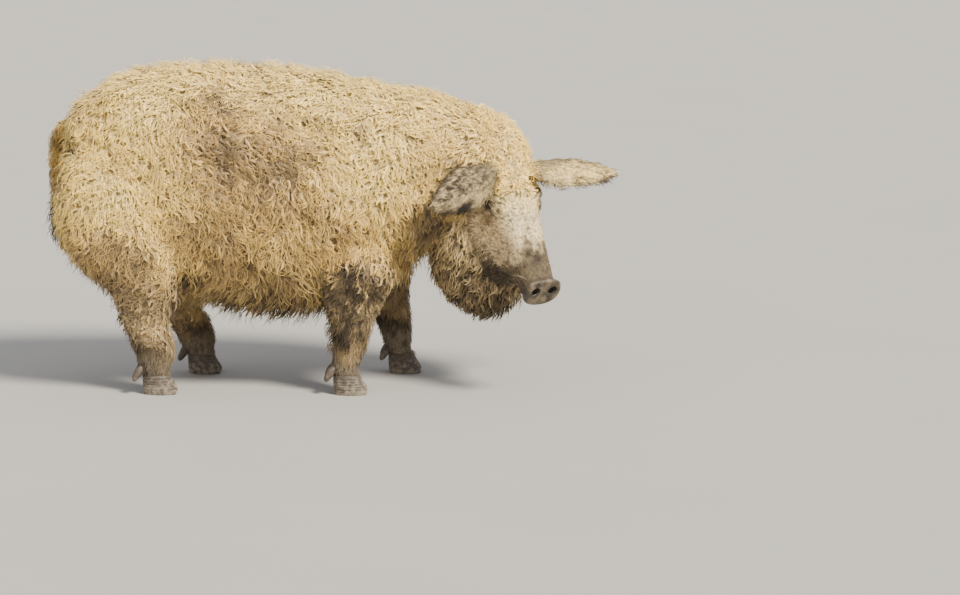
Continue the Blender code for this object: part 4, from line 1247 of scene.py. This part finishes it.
def strands_mesh(name, line, normal, width, twist, colour, shades, unwrap, steps, soft, material):
    """One mesh of closed tapered tufts, flat on the underside and ridged outside, that turn about
    their own length by their twist.  Colours run from a root darkened and greyed as painted shade
    deep in the coat to the bright tip.  Each tuft is one small patch of the unwrap, and fibre counts
    its streaks across and along.  Light glows through wool, so its normals are its own plus soft
    times the skin's."""
    count, rings = line.shape[:2]
    share = np.array(steps)
    way = unit(np.gradient(line, axis=1))
    flat = unit(np.cross(way, (normal + 0.07)[:, None]))
    turn = (twist[:, None] * (share + 0.2))[..., None]
    first = flat * np.cos(turn) + np.cross(way, flat) * np.sin(turn)
    half = (width[:, None] / 2.0 * (0.75 + 0.5 * np.sqrt(share)) * np.sqrt(1.0 - share**2.2))[:, :-1, None]
    edge = first[:, :-1] * half
    ridge = np.cross(way, first)[:, :-1] * half * RIDGE
    corners = np.stack([line[:, :-1] + edge, line[:, :-1] - edge, line[:, :-1] - ridge], axis=2)
    points = np.concatenate([corners.reshape(count, -1, 3), line[:, -1:]], axis=1)
    faces = strand_faces(rings)
    size = points.shape[1]
    corner_point = (np.arange(count)[:, None, None] * size + faces).reshape(-1).astype(np.int32)
    mesh = bpy.data.meshes.new(name)
    mesh.vertices.add(count * size)
    mesh.vertices.foreach_set("co", points.astype(np.float32).ravel())
    mesh.loops.add(len(corner_point))
    mesh.loops.foreach_set("vertex_index", corner_point)
    mesh.polygons.add(len(corner_point) // 3)
    mesh.polygons.foreach_set("loop_start", np.arange(0, len(corner_point), 3, dtype=np.int32))
    mesh.update(calc_edges=True)
    mesh.shade_smooth()
    along = np.append(np.repeat(share[:-1], 3), 1.0)
    # painted shade: each tuft darkens from its tip down to its root, deep in the coat
    shade = shades[0] + (shades[1] - shades[0]) * along**0.8
    shaded = colour[:, None] * shade[:, None]
    grey = shaded.mean(-1, keepdims=True)
    set_colours(mesh, (shaded + (grey - shaded) * (DULL * (1.0 - along))[:, None]).reshape(-1, 3))
    patch = np.column_stack([np.append(np.tile((0.0, 1.0, 0.5), rings - 1), 0.5), along]) - 0.5
    fibre = np.empty((count, size, 3), np.float32)
    fibre[..., 0] = patch[:, 0] * FIBRES
    fibre[..., 1] = patch[:, 1] * 2.0
    fibre[..., 2] = np.arange(count)[:, None] * 7.3 % 997.0
    set_values(mesh, "fibre", fibre)
    spots = np.clip(unwrap, PATCH, 1.0 - PATCH)[:, None] + PATCH * patch
    layer = mesh.uv_layers.new(name="OFBake")
    layer.data.foreach_set("uv", spots.reshape(-1, 2)[corner_point].astype(np.float32).ravel())
    own = np.empty(count * size * 3, np.float32)
    mesh.vertices.foreach_get("normal", own)
    softened = unit(own.reshape(count, size, 3) + soft * normal[:, None])
    mesh.normals_split_custom_set_from_vertices(softened.reshape(-1, 3))
    mesh.materials.append(material)
    thing = placed(name, mesh)
    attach(thing, "root")


def coat_material(name, roughness, sheen):
    """Hair: the markings, streaked along each tuft as if by its single hairs, with a soft sheen."""
    nodes = Nodes(name)
    marks = nodes.stored("markings", "Color")
    fibre = nodes.noise(nodes.stored("fibre", "Vector"), 1.0, 2.0, 0.6)
    streaks = nodes.ramp(fibre, 0.36, 0.64, 0.52, 1.44)
    return nodes.finish(Base_Color=nodes.blend("MULTIPLY", 1.0, marks, streaks),
                        Roughness=roughness, Normal=nodes.bump(fibre, 0.0008, 0.5), Specular_IOR_Level=0.30,
                        Sheen_Weight=sheen, Sheen_Roughness=0.4, Sheen_Tint=(1.0, 0.86, 0.64, 1.0))


wool_material = coat_material("wool", 0.62, 0.18)


def under_ears(root, normal, depth):
    """Share of the coat's depth that is free above each root before an ear is met."""
    hits = [ear_tree.ray_cast(point, way, 0.08)[3] for point, way in zip(root.tolist(), normal.tolist())]
    free = np.array([0.08 if hit is None else hit for hit in hits])
    return np.clip(free / depth, 0.30, 1.0)


def coat(name, slot, grid, wanted, lie_of, shape_of, colour_of, seed, strands=5, radius=LOCK_RADIUS,
         steps=WOOL_STEPS, width=(0.0009, 0.0021), gather=0.45, stray=0.45, tone=0.08, vary=0.08,
         shades=(0.82, 1.10), ear_depth=0.035, soft=2.5, material=wool_material):
    """A piece of coat on a tube's grid: locks of strands whose roots fill a small disc on the skin
    and whose tips gather a little.  Locks differ in tone and single strands vary; stray is how far
    the strands turn from their lock's lie, in radians."""
    random = np.random.default_rng(seed)
    root, normal, unwrap = planted(grid, wanted, random)
    place, level, near = on_skin(root, 0.006)
    near &= (level * normal).sum(-1) > 0.3
    root, normal, unwrap = place[near], level[near], unwrap[near]
    lie = lie_of(root, normal)
    shape = shape_of(root, normal, random)
    shape["length"] *= under_ears(root, normal, ear_depth) if ear_depth else 1.0
    colour = colour_of(root) * random.normal(1.0, tone, (len(root), 1))

    lock = np.repeat(np.arange(len(root)), strands)
    count = len(lock)
    away, turn = radius * np.sqrt(random.random(count)), random.random(count) * 2.0 * pi
    offset = away[:, None] * (np.cos(turn)[:, None] * lie[lock]
                              + np.sin(turn)[:, None] * np.cross(normal, lie)[lock])
    place, level, near = on_skin(root[lock] + offset, 0.012)
    own = {key: values[lock] for key, values in shape.items()}
    own["phase"] += random.normal(0.0, 0.30, count)
    own["hook"] += random.normal(0.0, 1.6 * stray, count)
    own["lift"] = 0.86 * own["lift"] + random.normal(0.0, 0.12, count)
    own["length"] *= random.uniform(0.72, 1.1, count)
    way = lie[lock] - offset * (gather / np.maximum(own["length"], 0.01))[:, None]
    way = swirled(way, level, random.normal(0.0, stray, count))
    wide = random.uniform(*width, count)
    light = np.clip(random.normal(1.0, vary, count), 0.2, 1.8)
    twist = random.uniform(-TWIST, TWIST, count)
    spot = unwrap[lock] + 0.0015 * np.column_stack([np.cos(turn), np.sin(turn)])

    line = curled(place - level * SUNK, level, way, own, steps)
    kept = near.nonzero()[0]
    strands_mesh(name, line[kept], level[kept], wide[kept], twist[kept],
                 (colour[lock] * light[:, None])[kept], shades, spot[kept], steps, soft, material)


def fleece(name, grid, wanted, lie_of, shape_of, colour_of, seed, ear_depth=0.035, **settings):
    """Two pieces over each other: underwool of broad, low, dull tufts that hides the skin, and the
    curls above it."""
    def under_wanted(points):
        """Tufts of underwool wherever there are curls."""
        return wanted(points) * UNDER_TUFTS / LOCKS

    def under_shape(root, normal, random):
        """The curls' own shape, shorter, flatter and straighter."""
        shape = shape_of(root, normal, random)
        shape["length"] *= 0.78
        shape["lift"] *= 0.70
        shape["hook"] *= 0.60
        return shape

    def under_colour(points):
        """The same markings, duller and greyer."""
        return painted(colour_of(points), (linear(190, 156, 100), 0.20)) * 1.05

    coat("underwool_" + name, "wool", grid, under_wanted, lie_of, under_shape, under_colour, seed + 50,
         strands=1, radius=0.0, steps=UNDER_STEPS, width=UNDER_WIDTH, tone=0.10, ear_depth=ear_depth)
    coat("wool_" + name, "wool", grid, wanted, lie_of, shape_of, colour_of, seed, ear_depth=ear_depth,
         **settings)


def body_lie(root, normal):
    """Down the flanks, back and outward along the spine, back under the belly, with whorls where
    it wanders."""
    top = smooth_step(normal[:, 2], 0.45, 0.95)[:, None]
    under = smooth_step(-normal[:, 2], 0.35, 0.9)[:, None]
    outward = np.sign(root[:, 1:2] - SHIFT[1])
    spine = np.hstack([-0.8 + 0.0 * outward, 0.55 * outward, 0.0 * outward])
    flank = smooth_step(root[:, :1], -0.44, -0.30) * (1.0 - smooth_step(root[:, :1], -0.06, 0.06))
    way = (np.array((-0.05, 0.0, -0.95)) + flank * (0.45, 0.0, 0.0)) * (1.0 - top) * (1.0 - under)
    way = way + spine * top + np.array((-0.9, 0.0, -0.2)) * under
    return swirled(way, normal, 1.1 * lattice_noise(root, 7.0, 61) + 1.1 * lattice_noise(root, 22.0, 62))


def body_shape(root, normal, random):
    """Close curls on lumps of longer wool; along the belly they hang."""
    under = smooth_step(-normal[:, 2], 0.2, 0.85)
    shape = curl(random, len(root), (0.046, 0.060), (0.72, 1.08), (0.0, 0.32), (1.8, 4.4))
    shape["length"] *= 1.0 + 0.22 * lattice_noise(root, 14.0, 63) + 0.20 * lattice_noise(root, 36.0, 64)
    shape["length"] *= 1.0 + random.uniform(-0.50, 0.45, len(root)) * under
    shape["length"] *= 1.0 - 0.20 * smooth_step(root[:, 0], 0.12, 0.30)
    shape["hook"] *= 1.0 - 0.25 * under
    shape["rest"] += 0.5 * under
    shape["sag"] += 0.4 * under
    return shape


def body_wanted(points):
    """Locks on a square metre: fewer in the middle of the belly, which hardly shows."""
    hidden = smooth_step(0.24 - points[..., 2], 0.0, 0.04) * (np.abs(points[..., 1] - SHIFT[1]) < 0.12)
    return LOCKS * (1.0 - 0.35 * hidden)


BODY_PIECES = {"rump": -0.97, "loin": 0.55, "back": 1.75, "flank": 2.75, "shoulder": 3.75, "neck": 5.1}
NECK_END = 8.99                     # station where the neck's wool ends
piece_rows = np.searchsorted(BODY_STATIONS, [*BODY_PIECES.values(), NECK_END])
for number, name in enumerate(BODY_PIECES):
    rows = body_grid[piece_rows[number]:piece_rows[number + 1] + 1]
    fleece(name, rows, body_wanted, body_lie, body_shape, wool_colour, seed=100 + number)


# ---- wool of the legs -----------------------------------------------------------------------
# The same wool down to the knee and hock, in level ruffles on the hind leg; below it short hair
# that lies down the leg, and muddy ringlets along the back edge of the foreleg.
WOOL_END = {"fore": 0.195, "hind": 0.118}       # height where the wool gives way to short hair
SHORT_HAIRS = 40000.0
HAIR_STEPS = (0.0, 0.4, 0.72, 1.0)
hair_material = coat_material("short_hair", 0.70, 0.15)
SINGLE = {"strands": 1, "radius": 0.0, "stray": 0.2, "ear_depth": 0.0, "material": hair_material}


def down_leg(root, normal):
    """Down the leg and slightly back."""
    return swirled(np.array((-0.30, 0.0, -1.0)), normal,
                   0.8 * lattice_noise(root, 16.0, 71) + 0.3 * lattice_noise(root, 50.0, 72))


def leg_wool_shape(which):
    """Shape of the curls on this leg: shorter towards its end, in ruffles on the hind leg."""
    def shape_of(root, normal, random):
        """Curls for these roots."""
        z = root[:, 2]
        shape = curl(random, len(root), (0.042, 0.054), (0.70, 1.00), (0.0, 0.30), (1.6, 4.0))
        shape["length"] *= 0.50 + 0.50 * smooth_step(z, WOOL_END[which], WOOL_END[which] + 0.14)
        if which == "hind":
            part, any_ruffle = ruffle_part(root)
            shape["length"] *= 1.0 + (0.25 - 0.65 * part) * any_ruffle
            shape["lift"] += (0.30 - 0.70 * part) * any_ruffle
            shape["hook"] *= 1.0 + 0.4 * any_ruffle
        return shape
    return shape_of


def leg_hair_shape(root, normal, random):
    """Short straight hair, shortest at the hoof."""
    shape = curl(random, len(root), (0.018, 0.030), (0.40, 0.75), (0.02, 0.25), (0.3, 2.0), loop=(0.0, 0.25))
    shape["length"] *= 0.62 + 0.38 * smooth_step(root[:, 2], 0.07, 0.16)
    return shape


def ringlet_shape(root, normal, random):
    """Hanging ringlets."""
    return curl(random, len(root), (0.030, 0.044), (0.75, 1.05), (0.1, 0.5), (1.5, 3.6), sag=0.45)


for number, (which, side) in enumerate(leg_grids):
    grid = leg_grids[which, side]
    end = WOOL_END[which]

    def wool_wanted(points):
        """Locks above the wool's end, whose edge wanders a little."""
        edge = points[..., 2] + 0.010 * lattice_noise(points, 30.0, 74)
        return LOCKS * smooth_step(edge, end - 0.006, end + 0.006)

    def hair_wanted(points):
        """Short hair from just inside the wool down to the coronet."""
        return SHORT_HAIRS * (points[..., 2] < end + 0.015) * (points[..., 2] > 0.0475)

    def ringlets_wanted(points):
        """Locks along the back edge of the foreleg."""
        behind = smooth_step(grid[..., 0].mean() - 0.012 - points[..., 0], 0.0, 0.012)
        return 2200.0 * behind * (points[..., 2] < end + 0.02) * (points[..., 2] > 0.115)

    def colour_of(points):
        """Markings of this leg."""
        return leg_colour(which, points)

    fleece("%sleg_%s" % (which, side), grid, wool_wanted, down_leg, leg_wool_shape(which), colour_of,
           seed=200 + number)
    coat("hair_%sleg_%s" % (which, side), "leg_hair", grid, hair_wanted, down_leg, leg_hair_shape, colour_of,
         seed=210 + number, steps=HAIR_STEPS, width=(0.0010, 0.0019), tone=0.18, vary=0.16,
         shades=(0.50, 1.20), **SINGLE)
    if which == "fore":
        coat("ringlets_foreleg_" + side, "leg_hair", grid, ringlets_wanted, down_leg, ringlet_shape,
             colour_of, seed=220 + number, strands=6, radius=0.005, gather=0.9, vary=0.16,
             shades=(0.45, 1.25), ear_depth=0.0)


# ---- wool and hair of the head --------------------------------------------------------------
# Small tight curls on the crown end in a sharp edge over the forehead; longer clumped wool hangs
# from cheeks and jowls; the face has short stiff hair that lies back from the snout.
CROWN_LOCKS = 6600.0
CROWN_STEPS = (0.0, 0.22, 0.39, 0.55, 0.70, 0.85, 1.0)
JOWL_LOCKS = 3800.0
FACE_HAIRS = 112000.0
FACE_STEPS = (0.0, 0.5, 1.0)
FACE_WIDTH = (0.0009, 0.0016)
face_grid = head_grid[len(disc):]


def head_wool(points):
    """Share of wool on the head, and how much of it is crown: 1 above the cheek, 0 below it."""
    back, dorsal, aside = head_parts(points)
    return woolly(back, dorsal), smooth_step(dorsal, -0.005, 0.030)


def crown_wanted(points):
    """Locks of the crown."""
    share, crown = head_wool(points)
    return CROWN_LOCKS * smooth_step(share, 0.1, 0.6) * crown


def jowl_wanted(points):
    """Locks of cheeks and jowls."""
    share, crown = head_wool(points)
    return JOWL_LOCKS * smooth_step(share, 0.2, 0.7) * (1.0 - crown)


def crown_lie(root, normal):
    """Forward over the forehead at the front edge, sideways and back behind it, all in whorls."""
    back, dorsal, aside = head_parts(root)
    front = (1.0 - smooth_step(back, 0.25, 0.31))[:, None]
    way = FORWARD * (1.6 * front - 0.6) + LEFT * (np.sign(aside) * 0.7)[:, None]
    return swirled(way, normal, 1.5 * lattice_noise(root, 30.0, 81) + 0.6 * lattice_noise(root, 70.0, 82))


def jowl_lie(root, normal):
    """Down, a little back."""
    return swirled(np.array((-0.15, 0.0, -1.0)) - FORWARD * 0.25, normal, 0.8 * lattice_noise(root, 25.0, 83))


def crown_shape(root, normal, random):
    """Tight curls, shortest at the edge over the forehead."""
    shape = curl(random, len(root), (0.034, 0.046), (0.75, 1.10), (0.0, 0.30), (2.0, 4.6))
    shape["length"] *= 0.55 + 0.45 * smooth_step(head_wool(root)[0], 0.3, 1.0)
    return shape


def jowl_shape(root, normal, random):
    """Clumped curls that hang, shortest where the wool begins."""
    shape = curl(random, len(root), (0.036, 0.050), (0.85, 1.15), (0.05, 0.45), (1.6, 4.0), sag=0.35)
    shape["length"] *= 0.50 + 0.50 * smooth_step(head_wool(root)[0], 0.3, 1.0)
    return shape


def face_wanted(points):
    """Short hairs on the face: none on the snout's plate, and none on the lids' edges."""
    back, dorsal, aside = head_parts(points)
    open_face = smooth_step(back, 0.010, 0.026) * (1.0 - smooth_step(woolly(back, dorsal), 0.4, 0.9))
    for sign in SIDES.values():
        middle, look, slit, over = eye_axes(sign)
        off = points - middle
        reach = np.where(aside * sign > 0, np.hypot((off @ slit) / 1.3, off @ over), 1.0)
        open_face = open_face * smooth_step(reach, 0.0065, 0.0105)
    return FACE_HAIRS * open_face


def face_lie(root, normal):
    """Back from the snout and slightly down."""
    back, dorsal, aside = head_parts(root)
    jaw = smooth_step(-dorsal, 0.018, 0.045)[:, None]
    return swirled(np.array((0.0, 0.0, -0.30)) - FORWARD + np.array((0.0, 0.0, -1.2)) * jaw, normal,
                   0.5 * lattice_noise(root, 28.0, 84) + 0.3 * lattice_noise(root, 90.0, 85))


def face_shape(root, normal, random):
    """Short hair, longest on the forehead and the cheek."""
    back, dorsal, aside = head_parts(root)
    shape = curl(random, len(root), (0.0075, 0.0115), (0.30, 0.60), (0.02, 0.20), (0.0, 1.0), loop=(0.0, 0.2))
    shape["length"] *= 0.62 + 0.75 * smooth_step(back, 0.03, 0.22)
    jaw = smooth_step(-dorsal, 0.018, 0.045) * smooth_step(back, 0.05, 0.10)
    shape["length"] *= 1.0 + 1.1 * jaw
    shape["hook"] *= 1.0 + 1.5 * jaw
    shape["lift"] += 0.3 * jaw
    return shape


fleece("crown", face_grid, crown_wanted, crown_lie, crown_shape, head_colour, seed=300,
       strands=5, radius=0.0070, steps=CROWN_STEPS, ear_depth=0.030)
fleece("jowls", face_grid, jowl_wanted, jowl_lie, jowl_shape, head_colour, seed=301,
       strands=6, radius=0.0085, width=(0.0014, 0.0030), gather=0.9, stray=0.25, tone=0.34, vary=0.32,
       shades=(0.08, 1.60), soft=0.3)
coat("hair_face", "face_hair", face_grid, face_wanted, face_lie, face_shape, head_colour, seed=302,
     steps=FACE_STEPS, width=FACE_WIDTH, tone=0.30, vary=0.50, shades=(0.50, 1.25), soft=0.6, **SINGLE)


# ---- hair of the ears -----------------------------------------------------------------------
# Short grey hair lies along each ear to its tip; its rims carry a paler fringe, and longer hair
# curls at the tip.
EAR_HAIRS = 98000.0
for number, side in enumerate(SIDES):
    ear_root, ear_along, ear_wide = ear_axes(side)[:3]

    def ear_place(points):
        """Share along the ear and distance across it as a share of the leaf's half width."""
        off = points - ear_root
        share = off @ ear_along / ear_along.dot(ear_along)
        half_width = np.interp(share, EAR_LEAF[:, 0], EAR_LEAF[:, 1])
        return share, off @ ear_wide / half_width

    def ear_wanted(points):
        """Hairs on the leaf, fewer in the hollow, more along the rims."""
        share, across = ear_place(points)
        return EAR_HAIRS * (0.8 + 0.6 * smooth_step(np.abs(across), 0.7, 1.0)) * (share > -0.14)

    def ear_lie(root, normal):
        """Along the ear and outward over the rims."""
        share, across = ear_place(root)
        way = unit(ear_along) + ear_wide * (0.55 * across**3)[:, None]
        return swirled(way, normal, 0.35 * lattice_noise(root, 45.0, 91))

    def ear_shape(root, normal, random):
        """Short hair, longer at the rims and curled at the tip."""
        share, across = ear_place(root)
        tip = smooth_step(share, 0.72, 0.96)
        rim = smooth_step(np.abs(across), 0.72, 1.0)
        shape = curl(random, len(root), (0.010, 0.015), (0.25, 0.50), (0.02, 0.18), (0.2, 1.0),
                     loop=(0.0, 0.25))
        stem = 1.0 - smooth_step(share, 0.0, 0.16)
        fringe = smooth_step(-across, 0.55, 0.95) * (1.0 - smooth_step(share, 0.25, 0.45))
        shape["length"] *= 1.0 + 0.50 * rim + 0.6 * tip + 1.1 * np.maximum(stem, fringe)
        shape["hook"] *= 1.0 + 2.5 * tip + 0.6 * rim + 3.0 * np.maximum(stem, fringe)
        shape["lift"] += 0.35 * np.maximum(stem, fringe)
        return shape

    def colour_of(points):
        """Markings of this ear."""
        return ear_colour(side, points)

    coat("hair_ear_" + side, "ear_hair", ear_grids[side], ear_wanted, ear_lie, ear_shape, colour_of,
         seed=400 + number, steps=FACE_STEPS, width=FACE_WIDTH, tone=0.22, vary=0.30, shades=(0.50, 1.25),
         soft=0.8, **SINGLE)


# ---- hair of the tail -----------------------------------------------------------------------
# Wool along the tail, and a curled tuft over its end.
def tail_wanted(points):
    """Locks down the tail, thickest on the tuft."""
    return 20000.0 + 8000.0 * smooth_step(0.46 - points[..., 2], 0.0, 0.05)


def tail_lie(root, normal):
    """Straight down."""
    return swirled(np.array((0.0, 0.0, -1.0)), normal, 0.5 * lattice_noise(root, 30.0, 95))


def tail_shape(root, normal, random):
    """Soft curls, longer on the tuft."""
    tuft = smooth_step(0.46 - root[:, 2], 0.0, 0.06)
    shape = curl(random, len(root), (0.024, 0.034), (0.55, 0.85), (0.0, 0.20), (1.2, 3.4), sag=0.3)
    shape["length"] *= 1.0 + 0.7 * tuft
    return shape


coat("wool_tail", "wool", tail_grid, tail_wanted, tail_lie, tail_shape, tail_colour, seed=500, strands=5,
     radius=0.003, ear_depth=0.0, soft=0.8)


# ---- whiskers and lashes --------------------------------------------------------------------
# A few stiff whiskers on lips and chin, and a row of pale lashes over each eye.
def whisker_wanted(points):
    """Whiskers behind the plate, on lips and chin."""
    back, dorsal, aside = head_parts(points)
    aside = smooth_step(np.abs(aside), 0.030, 0.042)
    return 3000.0 * aside * smooth_step(back, 0.016, 0.024) * (1.0 - smooth_step(back, 0.06, 0.09))


def whisker_shape(root, normal, random):
    """Long, stiff and nearly straight."""
    return curl(random, len(root), (0.026, 0.044), (0.75, 1.20), (0.50, 0.95), (0.0, 0.8), loop=(0.0, 0.1))


def whisker_colour(points):
    """Pale."""
    return linear(206, 192, 160) + 0.0 * points


coat("whiskers", "face_hair", face_grid, whisker_wanted, face_lie, whisker_shape, whisker_colour, seed=600,
     width=(0.0004, 0.0007), tone=0.3, shades=(0.6, 1.2), **SINGLE)

LASHES = 26
for side, sign in SIDES.items():
    middle, look, slit, over = eye_axes(sign)
    over = over * np.sign(over @ DORSAL)
    share = np.linspace(-0.9, 0.8, LASHES)
    ahead = SLIT[0] * share
    edge = SLIT[1] * np.clip(1.0 - share**2, 0.0, None) ** 0.8 + 0.0012
    bulge = np.sqrt(LID_RADIUS**2 - ahead**2 - edge**2)
    root = middle + slit * ahead[:, None] + over * edge[:, None] + look * bulge[:, None]
    random = np.random.default_rng(610)
    lie = unit(over * 0.35 + slit * (0.55 * share)[:, None] + LEFT * sign * 0.4)
    shape = curl(random, LASHES, (0.008, 0.012), (0.5, 0.8), (-0.25, 0.05), (0.0, 0.3), swing=(0.0, 0.05),
                 loop=(0.0, 0.05), sag=0.5)
    look_out = np.tile(look, (LASHES, 1))
    line = curled(root - look_out * SUNK, look_out, laid(lie, look_out), shape, HAIR_STEPS)
    shadow = linear(150, 132, 104) * random.uniform(0.7, 1.2, (LASHES, 1))
    places = np.column_stack([0.5 + 0.4 * share, np.full(LASHES, 0.5)])
    strands_mesh("lashes_" + side, line, look_out, np.full(LASHES, 0.0007), np.zeros(LASHES),
                 shadow, (0.7, 1.1), places, HAIR_STEPS, 0.0, hair_material)
